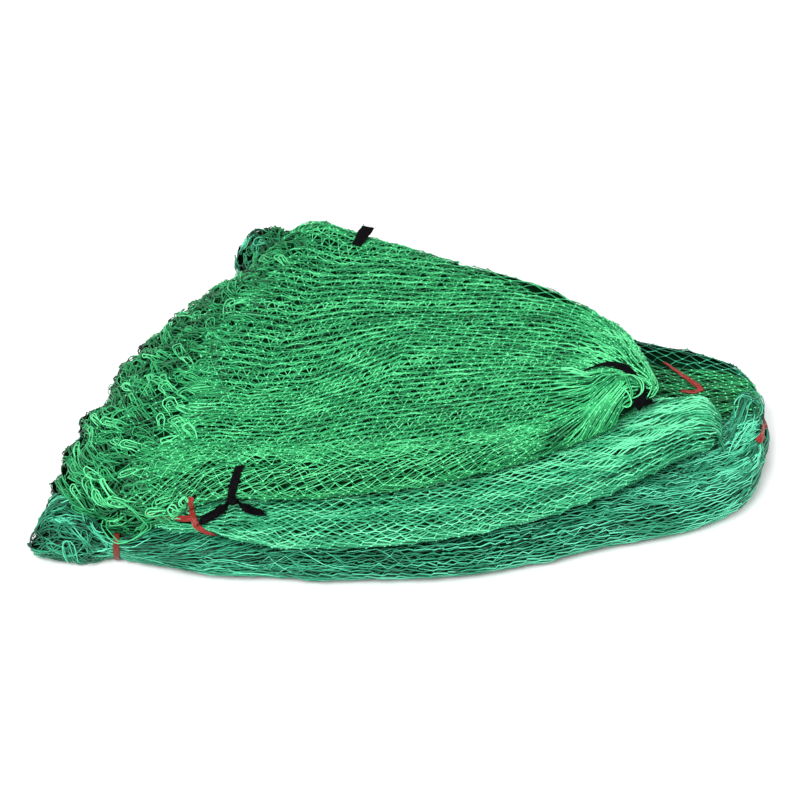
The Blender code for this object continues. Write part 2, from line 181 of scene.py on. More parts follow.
class Skin:
    """A tier's surface. A point has a place along the tier, in rows of its table, and a round coordinate: 0
    at the front edge, 0 to 1 over the upper side to the back edge, and 1 to 2 back along the lower side.

    Knots are counted from the place middle. flow gives a strand's round coordinate, and loosen throws the
    netting about. tone is the painted shade of the dark inside, which stands in for the shade deep in the
    folds, and core is the inside's depth. bright paints light and shade onto the strands: below 1 they are
    painted darker, and above 1 lighter. Later, open says how much of each point is seen from outside, and
    tied how far away a tie is.
    """
    per_row = 10              # rings for each row of the table
    side = 150                # points over a section's upper side, and as many under it
    mark = 4.0                # the spacing at which a length along the tier is turned into a row

    def __init__(self, rows, middle, offsets=None, flow=straight, loosen=None, tone=0.5, bright=1.0,
                 core=-4.5):
        self.last, self.middle, self.flow, self.loosen = len(rows) - 1, middle, flow, loosen
        self.tone, self.bright, self.core = tone, bright, core
        place = np.linspace(0, self.last, self.last * self.per_row + 1)
        table = rows_between(rows, place)[:, None]
        across = 0.5 * (1 - np.cos(np.linspace(0, math.pi, self.side + 1)))
        across = across[None, :] * np.ones((len(place), 1))
        front, line = table[..., 0:2], table[..., 2:4] - table[..., 0:2]
        bow, under_front, under_back, top_front, top_back, crown = np.moveaxis(table[..., 4:], -1, 0)
        length = np.linalg.norm(line, axis=2)
        left = np.stack([-line[..., 1], line[..., 0]], 2) / length[..., None]
        arch = 4 * across * (1 - across)
        out, up = offsets(place[:, None] * np.ones_like(across), across) if offsets else (0.0, 0.0)
        out = out + bow * arch * (1 + BOW_SKEW * (1 - 2 * across))
        at = front + line * across[..., None] + left * out[..., None]
        under = np.maximum(0, under_front + (under_back - under_front) * across)
        high = top_front + (top_back - top_front) * across + crown * arch + up
        level = under + EDGE_LEVEL * (high - under)
        edge = np.minimum(EDGE_ROUND, 0.4 * length)
        full = np.sqrt(1 - (1 - np.minimum(1, np.minimum(across, 1 - across) * length / edge)) ** 2)
        upper = np.concatenate([at, (level + (high - level) * full)[..., None]], 2)
        lower = np.concatenate([at, (level - (level - under) * full)[..., None]], 2)[:, ::-1]
        grid = np.array([np.concatenate([evenly_spaced(half, self.side + 1)[:-1] for half in halves])
                         for halves in zip(upper, lower)])
        self.grid = self.with_round_ends(grid) - CENTRE
        wrapped = np.concatenate([self.grid[:, -1:], self.grid, self.grid[:, :1]], 1)
        self.normal = unit(np.cross(np.gradient(self.grid, axis=0), wrapped[:, 2:] - wrapped[:, :-2]))
        self.run = length_along(self.grid)
        marks = np.arange(0, self.run.max() + self.mark, self.mark)
        rings = np.arange(len(self.grid), dtype=float)
        self.row_at = np.stack([np.interp(marks, line, rings) for line in self.run.T], 1)
        self.over = np.linalg.norm(np.diff(self.grid[:, :self.side + 1], axis=1), axis=2).sum(1)

    def with_round_ends(self, grid):
        """The grid with one more row of places at each end, over which the tier closes in a round lip."""
        angle = np.radians(np.linspace(0, 90, self.per_row + 1)[1:])[:, None, None]

        def lip(end, inner):
            mirror = np.roll(end[::-1], 1, 0)
            level = 0.5 * (end[:, 2] + mirror[:, 2])
            half = np.abs(end[:, 2] - mirror[:, 2]) / 2
            outward = unit((end - inner)[:, :2].mean(0))
            flat = end[None, :, :2] + outward * np.sin(angle) * LIP * half[None, :, None]
            rise = level + (end[:, 2] - level) * np.cos(angle[..., 0])
            return np.concatenate([flat, rise[..., None]], 2)

        first, last = lip(grid[0], grid[self.per_row]), lip(grid[-1], grid[-self.per_row - 1])
        return np.concatenate([first[::-1], grid, last])

    def row(self, place):
        return (np.clip(np.asarray(place, float), -1, self.last + 1) + 1) * self.per_row

    def look_up(self, values, place, turn):
        """Values of a grid at places and round coordinates, interpolated."""
        return self.between(values, self.row(place), turn)

    def between(self, values, row, turn):
        """Values of a grid at fractional rings and round coordinates."""
        row = np.clip(row, 0, len(values) - 1)
        column = (np.asarray(turn, float) % 2) * self.side
        i = np.minimum(row.astype(int), len(values) - 2)
        j = column.astype(int) % (2 * self.side)
        following = (j + 1) % (2 * self.side)
        a, b = row - i, column - np.floor(column)
        if values.ndim > 2:
            a, b = a[..., None], b[..., None]
        near = values[i, j] * (1 - b) + values[i, following] * b
        far = values[i + 1, j] * (1 - b) + values[i + 1, following] * b
        return near * (1 - a) + far * a

    def from_end(self, place, turn):
        """The length along the surface from the tier's first end."""
        return self.look_up(self.run, place, turn)

    def moved(self, place, turn, along, across):
        """The place and round coordinate this far along the tier and round it."""
        place, turn, along, across = np.broadcast_arrays(place, turn, along, across)
        turn = turn + across / self.reach(place)
        return self.between(self.row_at, (self.from_end(place, turn) + along) / self.mark,
                            turn) / self.per_row - 1, turn

    def reach(self, place):
        """The length once over the section's upper side."""
        return np.interp(self.row(place), np.arange(len(self.over)), self.over)

    def thickness(self, place):
        """The section's thickness at its middle."""
        upper, lower = (self.look_up(self.grid, place, turn + 0 * place) for turn in (0.5, 1.5))
        return np.abs((upper - lower)[..., 2])

    def at(self, place, turn, depth=0.0):
        """(point, normal) at a height above the surface."""
        normal = unit(self.look_up(self.normal, place, turn))
        return self.look_up(self.grid, place, turn) + normal * np.asarray(depth)[..., None], normal


# ---------------------------------------------------------------- helpers
def waves(seed, points, across, along, count=9):
    """Smooth noise of about -1 to 1 over points: features this long across and along the X axis."""
    rng = np.random.default_rng(seed)
    total = 0.0
    for _ in range(count):
        angle = rng.uniform(0, 2 * math.pi)
        size = rng.uniform(0.6, 1.5) * 2 * math.pi
        upward = rng.uniform(-1, 1) / across
        vector = np.array([math.cos(angle) / along, math.sin(angle) / across, upward]) * size
        total = total + np.sin(points @ vector + rng.uniform(0, 2 * math.pi))
    return total / math.sqrt(count)


def relief(points):
    """The bundles and hollows that the strands lie in, along the flow."""
    return 1.3 * waves(11, points, 19, 120) + 0.7 * waves(12, points, 9, 60)


def triangles(quads):
    return np.concatenate([quads[:, [0, 1, 2]], quads[:, [0, 2, 3]]])


class Heap:
    """Geometry gathered for one piece, with the two attributes that its material reads. On twine, shade is
    how light it is: a strand's own random tone with painted light and shade added, and twist counts its
    turns. On a tie, they are the lengths across and along it."""

    def __init__(self):
        self.parts, self.count = [], 0

    def add(self, points, faces, shade, twist):
        self.parts.append((points, faces + self.count, np.broadcast_to(shade, len(points)),
                           np.broadcast_to(twist, len(points))))
        self.count += len(points)

    def piece(self, name, material):
        """Makes the piece, on the part's only body, and empties the heap."""
        points, faces, shade, twist = (np.concatenate(arrays) for arrays in zip(*self.parts))
        self.parts, self.count = [], 0
        used, index = np.unique(faces, return_inverse=True)
        faces = index.reshape(faces.shape)
        mesh = bpy.data.meshes.new(name)
        mesh.vertices.add(len(used))
        mesh.vertices.foreach_set("co", (points[used] * MM).astype(np.float32).ravel())
        mesh.loops.add(faces.size)
        mesh.loops.foreach_set("vertex_index", faces.astype(np.int32).ravel())
        mesh.polygons.add(len(faces))
        mesh.polygons.foreach_set("loop_start", np.arange(0, faces.size, 3, dtype=np.int32))
        mesh.polygons.foreach_set("use_smooth", np.ones(len(faces), bool))
        for key, values in (("shade", shade), ("twist", twist)):
            layer = mesh.attributes.new(key, "FLOAT", "POINT")
            layer.data.foreach_set("value", values[used].astype(np.float32))
        mesh.update()
        mesh.validate()
        mesh.materials.append(material)
        made = bpy.data.objects.new(name, mesh)
        bpy.context.scene.collection.objects.link(made)
        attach(made, "root")
        return made


heap = Heap()


def solid_of(skins):
    """A search tree of the tiers' surfaces, on every third column."""
    points, faces, count = [], [], 0
    for skin in skins:
        grid = skin.grid[:, ::3]
        number = grid.shape[0] * grid.shape[1]
        points.append(grid.reshape(-1, 3))
        faces.append(rings_joined(count + np.arange(number).reshape(grid.shape[:2])).reshape(-1, 4))
        count += number
    return BVHTree.FromPolygons(np.concatenate(points).tolist(), np.concatenate(faces).tolist())


def openness(skin, reach=150.0, lift=2.0):
    """How open the surface is to the outside, from 0 where folds hide it to 1: rays from a coarse grid."""
    rows, columns = np.arange(0, len(skin.grid), 3), np.arange(0, 2 * skin.side, 6)
    ways = [(0, 0)] + [(math.radians(360 * k / count), math.radians(tilt))
                       for tilt, count in ((40, 4), (72, 8), (86, 8)) for k in range(count)]
    seen = np.zeros((len(rows), len(columns)))
    for i, row in enumerate(rows):
        for j, column in enumerate(columns):
            normal = Vector(skin.normal[row, column])
            start = Vector(skin.grid[row, column]) + normal * lift
            side = normal.orthogonal().normalized()
            other = normal.cross(side)
            free = 0
            for turn, tilt in ways:
                flat = side * math.cos(turn) + other * math.sin(turn)
                way = normal * math.cos(tilt) + flat * math.sin(tilt)
                free += tiers.ray_cast(start, way, reach)[0] is None
            seen[i, j] = free / len(ways)
    full = np.stack([np.interp(np.arange(len(skin.grid)), rows, line) for line in seen.T], 1)
    wide = np.concatenate([full, full[:, :1]], 1)
    at = np.append(columns, 2 * skin.side)
    return np.stack([np.interp(np.arange(2 * skin.side), at, line) for line in wide])


TWIST_PITCH = 3.0         # the length in which a strand's plies turn once
TUBE_SIDES = 4
BEAD_POINTS = 6
SHORTEST = 0.3            # shorter stretches of a tube are left out
TAPER = 0.25              # the share of a tube's radius that is left at its tip
KNOT_SIZE = (1.7, 1.2, 1.2)               # half a knot's length, width and height


def tubes(lines, normals, kept, radius):
    """(points, triangles, twist) of tubes along lines. They taper where a run of kept stretches ends."""
    count, length = lines.shape[:2]
    ahead = unit(np.gradient(lines, axis=1))
    side = unit(np.cross(ahead, normals))
    up = np.cross(side, ahead)
    kept = kept & (np.linalg.norm(np.diff(lines, axis=1), axis=2) > SHORTEST)
    before = np.concatenate([np.zeros((count, 1), bool), kept], 1)
    after = np.concatenate([kept, np.zeros((count, 1), bool)], 1)
    radius = np.where(before & after, radius, TAPER * radius)
    angle = 2 * math.pi * (np.arange(TUBE_SIDES) + 0.5) / TUBE_SIDES - math.pi / 2
    ring = side[:, :, None] * np.cos(angle)[:, None] + up[:, :, None] * np.sin(angle)[:, None]
    points = lines[:, :, None] + ring * radius[..., None, None]
    index = np.arange(count * length * TUBE_SIDES).reshape(count, length, TUBE_SIDES)
    twist = length_along(lines, 1)[..., None] / TWIST_PITCH + np.arange(TUBE_SIDES) / TUBE_SIDES
    return points.reshape(-1, 3), triangles(rings_joined(index)[kept].reshape(-1, 4)), twist.ravel()


def beads(at, ahead, normal):
    """(points, triangles) of knots, as small drawn-out octahedra."""
    side = unit(np.cross(ahead, normal))
    arms = np.stack([way * size for way, size in zip((ahead, side, np.cross(side, ahead)), KNOT_SIZE)], 1)
    points = np.concatenate([at[:, None] + arms, at[:, None] - arms], 1)
    shape = np.array([(0, 2, 1), (1, 2, 3), (3, 2, 4), (4, 2, 0), (1, 5, 0), (3, 5, 1), (4, 5, 3), (0, 5, 4)])
    return points.reshape(-1, 3), (shape + BEAD_POINTS * np.arange(len(at))[:, None, None]).reshape(-1, 3)


# ---------------------------------------------------------------- netting
HIDDEN = 0.03             # a strand is left out where the surface is less open than this
SHADED = 0.9              # how much a strand's shade falls as its skin's bright falls from 1 to 0
KNOT_ROOM = 1.8           # how high a strand with knots on it stays above the ground
KNOT_LIFT = 0.3           # how far a knot's middle is above its strand's
HELD_LOW, HELD_RISE = -1.4, 7.0           # how high strands may lie at a tie, and how much higher off it
HELD_FROM, HELD_TO = 2.0, 15.0            # and between which lengths from the tie that rises
HELD_AT_END = 0.6         # at a tier's last end they stay at least this high
RUFFLED_TO, RUFFLE_FADE = 135.0, 60.0     # how far from its edge the frill is ruffled, and over what it fades
RUFFLE, RUFFLE_SIZE = 12.0, 42.0          # how far the ruffling moves its strands, and how long its waves are


class Netting:
    """One layer of diamond netting laid along a tier.

    columns is how many knot columns there are for each unit of the round coordinate, from first to last, bar
    the length from knot to knot, and depth the height over the surface. pleats is how many pleats there are
    for each unit, pleat_depth how far down a pleat's valley lies, ridge where the first ridge is, and gather
    how closely its strands crowd onto the ridge. zig is how far a strand swings from column to column. mess
    says how untidy the netting is, and area where there is any. Strands come in groups, and some of them go
    under where they lie closer than crowd. steps is how many stretches of tube a strand has between knots.
    """
    bar, depth, pleats, pleat_depth, ridge, gather = 11.5, 1.0, 0, 2.8, 0.0, 0.0
    zig, mess, relief, group, crowd, steps = 1.0, 0.9, 1.0, 1, 2.3, 1
    twine, tone, knot_shade = 1.35, 0.0, 0.35

    def __init__(self, skin, columns, first, last, seed, area, **settings):
        self.skin, self.columns, self.seed = skin, columns, seed
        self.first, self.last, self.area = first, last, area
        self.middle, self.flow, self.loosen = skin.middle, skin.flow, skin.loosen
        vars(self).update(settings)

    def knot_places(self, columns, offset):
        """Each knot's place, for columns of knots a bar apart along the surface. Past an end it is NaN."""
        places = np.linspace(-1, self.skin.last + 1, 12 * self.skin.last + 1)
        at, _ = self.skin.at(places[None, :], self.flow(places[None, :], columns[:, None]))
        length = length_along(at, 1)
        length -= np.array([np.interp(self.middle, places, line) for line in length])[:, None]
        if not self.pleats:
            rng = np.random.default_rng(self.seed + 7)
            turns = np.arange(0, len(columns) + 5, 5)
            length += np.interp(np.arange(len(columns)), turns, rng.normal(0, 7, len(turns)))[:, None]
        first, last = math.floor(length.min() / self.bar), math.ceil(length.max() / self.bar)
        wanted = (np.arange(first, last + 1) + offset) * self.bar
        return np.stack([np.interp(wanted, line, places, np.nan, np.nan) for line in length])

    def lines(self):
        """(lines, normals, kept, place, turn) of the layer's strands."""
        rng = np.random.default_rng(self.seed)
        step = 1 / self.columns
        columns = np.arange(self.first, self.last, step)
        if not self.pleats:
            columns = columns + rng.uniform(0, step)
        place = self.knot_places(columns, rng.uniform(0, 1))
        shape = place.shape
        mess = value_at(self.mess, np.nan_to_num(place), columns[:, None] + np.zeros(shape))
        place = place + rng.normal(0, 0.10, shape) * mess * np.nanmean(np.abs(np.diff(place, axis=1)))
        column = columns[:, None] + rng.normal(0, 0.22, shape) * mess * step
        high = rng.normal(0, 0.7, shape) * mess + 0.3
        number = np.arange(shape[1])
        line = np.arange(shape[0] - 1)[:, None]
        chosen = line + ((line + number) % 2)
        part = np.arange(self.steps)[None, None, :] / self.steps
        ease = 0.5 * part + 0.5 * (1 - np.cos(math.pi * part)) / 2
        arch = np.sin(math.pi * part)

        def between(values, curve):
            ends = values[chosen, number]
            filled = ends[:, :-1, None] + (ends[:, 1:] - ends[:, :-1])[..., None] * curve
            return np.concatenate([filled.reshape(len(ends), -1), ends[:, -1:]], 1)

        def bow(amount):
            sway = rng.normal(0, amount, (shape[0] - 1, shape[1] - 1, 1)) * arch
            return np.concatenate([sway.reshape(shape[0] - 1, -1), np.zeros((shape[0] - 1, 1))], 1)

        place_at, mess_at = between(place, part), between(mess, part)
        real = np.isfinite(place_at)
        place_at = np.nan_to_num(place_at)
        centre = columns[:-1, None] + 0.5 * step
        swing = value_at(self.zig, place_at) * (between(column, ease) - centre)
        column_at = centre + swing + bow(0.16) * mess_at * step
        high_at = between(high, part) + bow(0.5) * mess_at
        if self.pleats:
            phase = 2 * math.pi * (column_at * self.pleats - self.ridge)
            calm = np.clip(1.35 - mess_at, 0, 1)
            high_at = high_at - self.pleat_depth * calm * (0.5 - 0.5 * np.cos(phase))
            column_at = column_at - self.gather * calm * np.sin(phase) / (2 * math.pi * self.pleats)
        turn = self.flow(place_at, column_at)
        if self.loosen:
            place_at, turn, lift = self.loosen(self.skin, place_at, turn, self.seed)
            high_at = high_at + lift
        flat, _ = self.skin.at(place_at, turn)
        high_at = high_at + value_at(self.depth, place_at, turn) + self.relief * relief(flat)
        points, normals = laid(self.skin, place_at, turn, high_at)
        kept = real[:, 1:] & real[:, :-1] & self.on_top(place_at, column_at, rng)[:, 1:]
        return points, normals, kept, place_at, turn

    def on_top(self, place, column, rng):
        """Which strands stay on top where they crowd together: every other one goes under its neighbours."""
        spread = np.abs(self.flow(place, column + 0.03) - self.flow(place, column - 0.03)) / 0.06
        spacing = self.skin.reach(place) * np.clip(spread, 0.15, 1) / self.columns * self.group
        number = np.arange(len(place))
        bundle = number // self.group
        needed = np.where(bundle % 2, self.crowd, np.where(bundle % 4 == 2, self.crowd / 2, 0))
        if self.group > 1:
            in_the_middle = number % self.group == self.group // 2
            needed = np.where(in_the_middle, needed, np.maximum(needed, 1.6 * self.crowd))
        return spacing > (needed * rng.uniform(0.75, 1.3, len(place)))[:, None]


def laid(skin, place, turn, high):
    """(points, normals) at heights over a tier, held down where a tie crosses it."""
    near = skin.look_up(skin.tied, place, turn)
    held = HELD_LOW + HELD_RISE * np.clip((near - HELD_FROM) / (HELD_TO - HELD_FROM), 0, 1) ** 1.5
    held = np.where(place > skin.last - 0.3, np.maximum(held, HELD_AT_END), held)
    return skin.at(place, turn, np.where(near < HELD_TO, np.minimum(high, held), high))


def hold_above_ground(points, radius):
    points[..., 2] = np.maximum(points[..., 2], radius)
    return points


def add_strands(skin, place, turn, lines, normals, kept, radius, shade):
    """Adds strands to the heap where they can be seen. Returns each point's shade and what was kept."""
    seen = skin.look_up(skin.open, place, turn)
    kept = kept & (np.minimum(seen[:, 1:], seen[:, :-1]) > HIDDEN)
    # The skin's bright paints light and shade onto the strands.
    shade = np.clip(shade - SHADED * (1 - value_at(skin.bright, place, turn)), -0.5, 1)
    points, faces, twist = tubes(lines, normals, kept, radius)
    heap.add(points, faces, shade.repeat(TUBE_SIDES, 1).reshape(-1), twist)
    return shade, kept


def lay(skin, columns, first, last, seed, area=None, knots=False, **settings):
    """Adds a layer of netting to the heap, with its knots where they show."""
    net = Netting(skin, columns, first, last, seed, area, **settings)
    lines, normals, kept, place, turn = net.lines()
    if net.area:
        within = net.area(place, turn, lines)
        kept = kept & within[:, 1:] & within[:, :-1]
    radius = value_at(net.twine, place) / 2
    lines = hold_above_ground(lines, KNOT_ROOM if knots else radius.max())
    # Each strand has its own random tone, and the layer's tone adds painted light and shade: the lower layers
    # are painted darker.
    strand = np.random.default_rng(seed + 1000).uniform(0, 1, (len(lines), 1)) * 0.5 + 0.25
    shade = strand + 0.2 * waves(seed + 5, lines, 30, 60) + value_at(net.tone, place)
    shade, kept = add_strands(skin, place, turn, lines, normals, kept, radius, shade)
    if knots:
        chosen = np.zeros(lines.shape[:2], bool)
        chosen[::2, ::2 * net.steps] = True
        chosen[1::2, net.steps::2 * net.steps] = True
        chosen[:, 1:] &= kept
        chosen[:, :-1] &= kept
        ahead = unit(np.gradient(lines, axis=1))[chosen]
        points, faces = beads(lines[chosen] + normals[chosen] * KNOT_LIFT, ahead, normals[chosen])
        # Knots are painted lighter than their strands: a painted highlight.
        heap.add(points, faces, np.minimum(1, shade[chosen] + net.knot_shade).repeat(BEAD_POINTS), 0.0)


def ruffled(skin, place, turn, seed):
    """The fan's frill: its netting is thrown about, the more the nearer to its edge."""
    flat, _ = skin.at(place, turn)
    amount = np.clip((RUFFLED_TO - skin.from_end(place, turn)) / RUFFLE_FADE, 0, 1)
    along, across = (RUFFLE * amount * waves(seed + k, flat, RUFFLE_SIZE, RUFFLE_SIZE, 14) for k in (40, 41))
    place, turn = skin.moved(place, turn, along, across)
    return place, turn, 2.5 * amount * waves(seed + 42, flat, 26, 26)


def band(low, high, wide=lambda turn: 1.0, first=-9.0, last=9.0):
    """The part of a tier between two lengths from its end, and between two round coordinates."""
    return lambda place, turn, far: (far > low) & (far < high * wide(turn)) & (turn > first) & (turn < last)


def scattered(skin, region, turns, spacing, seed, tries=10):
    """Places spread over part of a tier's open surface, at least this far apart."""
    rng = np.random.default_rng(seed)
    along = np.linspace(-1, skin.last, 20 * skin.last)
    place, turn = np.meshgrid(along, np.linspace(*turns, 160), indexing="ij")
    at, _ = skin.at(place, turn)
    cell = np.linalg.norm(np.cross(np.gradient(at, axis=0), np.gradient(at, axis=1)), axis=2)
    far = skin.from_end(place, turn) + 8 * waves(seed, at, 30, 30)
    cell = cell * region(place, turn, far) * (skin.look_up(skin.open, place, turn) > 0.05)
    chosen = rng.choice(cell.size, int(tries * cell.sum() / spacing ** 2), p=(cell / cell.sum()).ravel())
    points = at.reshape(-1, 3)[chosen] + rng.normal(0, 1, (len(chosen), 3))
    kept = [0]
    for number, point in enumerate(points):
        if ((points[kept] - point) ** 2).sum(1).min() > spacing ** 2:
            kept.append(number)
    return place.ravel()[chosen[kept]], turn.ravel()[chosen[kept]]


class Bundles:
    """Bundles of loose twine scattered over part of a tier. way turns them away from the tier's length."""

    def __init__(self, skin, region, turns, seed, spacing, size):
        self.skin, self.size, self.seed = skin, size, seed
        self.place, self.turn = scattered(skin, region, turns, spacing, seed)
        self.rng = np.random.default_rng(seed)
        self.count = len(self.place)

    def each(self, values):
        """A value of each bundle, for each of its lengths of twine."""
        return values.repeat(self.size)[:, None]

    def some(self, low, high):
        return self.each(self.rng.uniform(low, high, self.count))

    def wobble(self, low, high):
        return self.rng.uniform(low, high, (self.count * self.size, 1))

    def heading(self, way, sway, spread):
        flat, _ = self.skin.at(self.place, self.turn)
        turned = way + sway * waves(self.seed + 1, flat, 60, 60)
        return self.each(turned + self.rng.normal(0, spread, self.count))

    def add(self, along, across, high, twine, shade):
        """Adds the bundles to the heap, by how far along and round the tier their points lie and how high."""
        place, turn = self.skin.moved(self.each(self.place), self.each(self.turn), along, across)
        flat, _ = self.skin.at(place, turn)
        lines, normals = laid(self.skin, place, turn, high + relief(flat))
        lines = hold_above_ground(lines, twine / 2)
        # Twine that lies lower is painted darker: painted shade.
        shade = shade + 0.09 * np.clip(high - 0.5, -4, 2)
        add_strands(self.skin, place, turn, lines, normals, True, np.full(lines.shape[:2], twine / 2), shade)


def curls(skin, region, turns, seed, spacing, lift, length, bends, way=0.0, spread=0.3, depth=0.0, bundle=3,
          gap=3.0, twine=1.4, shades=(0.0, 1.0)):
    """Loose loops of twine, in bundles, that sweep over a tier in arcs and dive into it at both ends."""
    made = Bundles(skin, region, turns, seed, spacing, bundle)
    rng, count, wobble, steps = made.rng, made.count, made.wobble, 9
    size = made.some(*length) * wobble(0.8, 1.2)
    heading = made.heading(way, spread, spread)
    bend = made.each(rng.choice([-1, 1], count) * rng.uniform(*bends, count)) + wobble(-0.5, 0.5)
    share = np.linspace(0, 1, steps)
    angle = heading + wobble(-0.12, 0.12) + bend * (share - 0.5) + 0.3 * np.sin(6 * share + wobble(0, 6))
    along = np.cumsum(np.cos(angle) * size / (steps - 1), 1)
    across = np.cumsum(np.sin(angle) * size / (steps - 1), 1)
    side = (np.tile(np.arange(bundle), count) - (bundle - 1) / 2)[:, None] * gap * wobble(0.7, 1.4)
    along += -np.sin(heading) * side - along.mean(1, keepdims=True)
    across += np.cos(heading) * side - across.mean(1, keepdims=True)
    rise = lift * made.some(0.1, 1) * np.sin(math.pi * share) ** 0.7
    high = depth + rise - 2.5 * np.abs(2 * share - 1) ** 3 + wobble(-0.6, 0.6)
    made.add(along, across, high, twine, made.some(*shades) + wobble(-0.2, 0.2))


def hairpins(skin, region, turns, seed, spacing, length=(16, 30), width=(3, 6), lift=(1.5, 5.0), way=0.0,
             spread=0.35, twine=1.5, nest=2, pitch=3.2, shades=(0.0, 1.0)):
    """Loops that lie over each other like scales, each of a few strands one inside the other. Their closed
    ends point outward, and their legs run back side by side and dive in."""
    made = Bundles(skin, region, turns, seed, spacing, nest)
    some, wobble = made.some, made.wobble
    heading = made.heading(way, 0.35, spread)
    order = np.tile(np.arange(nest), made.count)[:, None]
    half = np.maximum(some(*width) - order * pitch * 0.6 + wobble(-1, 1), 1.2)
    legs = some(*length) * wobble(0.7, 1.15) - order * pitch
    back = np.array([1.0, 0.72, 0.45, 0.2])
    cap = np.radians([-90, -50, -18, 18, 50, 90])
    skew = wobble(-0.35, 0.35)
    out, home = -legs * back * (1 + skew), -legs * back[::-1] * (1 - skew)
    ahead = np.concatenate([out, half * np.cos(cap), home], 1)
    aside = np.concatenate([-half * (1 - 0.2 * back), half * np.sin(cap), half * (1 - 0.2 * back[::-1])], 1)
    aside = aside + (some(-0.016, 0.016) + wobble(-0.004, 0.004)) * ahead ** 2
    share = np.concatenate([-back, 0.12 * np.sin(cap), back[::-1]])
    ahead, aside = ahead + legs * 0.45, aside + 0.7 * np.sin(5 * share + wobble(0, 6))
    turned = heading + wobble(-0.12, 0.12)
    along = -(np.cos(turned) * ahead - np.sin(turned) * aside)
    across = np.sin(turned) * ahead + np.cos(turned) * aside
    rise = some(*lift) * np.clip(1.1 - np.abs(share) ** 1.5, 0, 1) - 3.2 * np.abs(share) ** 3 - 0.3 * order
    shade = some(*shades) + wobble(-0.2, 0.2)
    made.add(along, across, rise + 0.6 * np.sin(4 * share + wobble(0, 6)), twine, shade)


# ---------------------------------------------------------------- lines over the netting
def resting(line, gap):
    """A line's points, each moved to its gap over the tiers."""
    found = [tiers.find_nearest(point) for point in line]
    return np.array([nearest + normal * high for (nearest, normal, _, _), high in zip(found, gap)])


def kept_off(points, gap):
    """Points moved off the tiers where they are closer than the gap."""
    points = points.copy()
    for i, point in enumerate(points):
        nearest, normal, _, _ = tiers.find_nearest(point)
        short = gap - (Vector(point) - nearest).dot(normal)
        if short > 0:
            points[i] = point + np.array(normal) * short
    return points


def drawn_taut(line, gap, rounds):
    """A line drawn taut over the tiers. It bridges hollows, and keeps a gap to what it touches."""
    line = line.copy()
    for _ in range(rounds):
        line[1:-1] = 0.5 * line[1:-1] + 0.25 * (line[2:] + line[:-2])
        line = kept_off(line, gap)
    return kept_off(line, gap)


def softened(values, reach):
    """Values averaged with their neighbours along a line."""
    padded = np.concatenate([values[:1]] * reach + [values] + [values[-1:]] * reach)
    return sum(padded[k:k + len(values)] for k in range(2 * reach + 1)) / (2 * reach + 1)


def upward(line):
    """The way away from the tiers at each point of a line."""
    return np.array([tiers.find_nearest(point)[1] for point in line])


def loose(points, count, spread, twine, shade, seed):
    """Adds a few strands on smooth curves through points of the tables' frame, each with its height."""
    rng = np.random.default_rng(seed)
    points = np.array(points, float)
    for _ in range(count):
        shift = np.concatenate([rng.normal(0, spread, 2), np.zeros(2)])
        moved = points + shift + rng.normal(0, 0.35 * spread, (1, 4)) * (1, 1, 0, 0)
        moved = moved + rng.normal(0, 0.4, points.shape)
        fine = rows_between(moved, np.linspace(0, len(points) - 1, 5 * (len(points) - 1) + 1))
        line = resting(fine[:, :3] - CENTRE, np.maximum(fine[:, 3], -1.5))
        line = hold_above_ground(softened(line, 1), twine / 2)
        made, faces, twist = tubes(line[None], unit(softened(upward(line), 1))[None],
                                   np.ones((1, len(line) - 1), bool), np.full((1, len(line)), twine / 2))
        heap.add(made, faces, shade + rng.uniform(-0.2, 0.2), twist)


# ---------------------------------------------------------------- ties
# A route's point is x, y and z in the tables' frame, its lift off the net, its roll in degrees and its width.
TAPE_UP = [(-165, -200, 84, 1.5, 0, 8.0), (-165, -197, 90, 1.0, 8, 8.0), (-162, -188, 98, 0.5, -10, 8.5),
           (-160, -179, 100, 0.6, 6, 8.5), (-157, -172, 102, 1.5, -6, 9.0)]
TAPE_LEFT = [(-166, -201, 83, 1.0, 0, 7.5), (-174, -205, 74, 2.0, 10, 8.5), (-186, -205, 67, 0.6, 0, 9.5),
             (-198, -207, 61, 0.3, 0, 8.0)]
TAPE_RIGHT = [(-163, -201, 83, 1.0, 0, 7.5), (-154, -205, 76, 2.0, -8, 8.5), (-144, -204, 70, 0.6, 0, 9.0),
              (-134, -205, 69, 1.0, 0, 8.0)]
TAPE_NECK = [(192, -32, 103, 0.3, 60, 6.0), (202, -24, 100, 0.3, 40, 7.5), (213, -17, 98, 0.4, 15, 9.0),
             (226, -17, 98, 0.6, 5, 10.0), (237, -26, 98, 0.8, 0, 10.0), (245, -41, 98, 0.5, 25, 8.0),
             (247, -52, 99, 0.5, 10, 8.0), (244, -65, 97, 0.8, 0, 13.0), (241, -76, 92, 0.4, 0, 16.0)]
TAPE_NECK_TAIL = [(243, -66, 97, 1.2, 0, 8.0), (252, -67, 91, 1.6, 0, 8.0), (261, -63, 88, 1.2, 10, 6.5)]
TAPE_BACK = [(-49, 181, 101, 0.3, 0, 10.0), (-45, 189, 99, 0.8, 0, 12.5), (-41, 196, 97, 6, -10, 13.5),
             (-38, 201, 96, 12, -16, 13.0)]
RIBBON_NECK_PLACE = 4.5   # the row of the bottom tier round which its neck's ribbon goes
RIBBON_MIDDLE = [(-205, -194, 83, 0.5, 0, 5.0), (-206, -195, 74, 1.5, 30, 5.0), (-206, -198, 65, 0.8, 0, 5.5),
                 (-203, -205, 60, 0.4, 10, 6.5), (-198, -210, 54, 0.4, 0, 6.5),
                 (-190, -212, 50, 0.5, 20, 5.0), (-182, -213, 47, 0.4, 0, 5.0)]
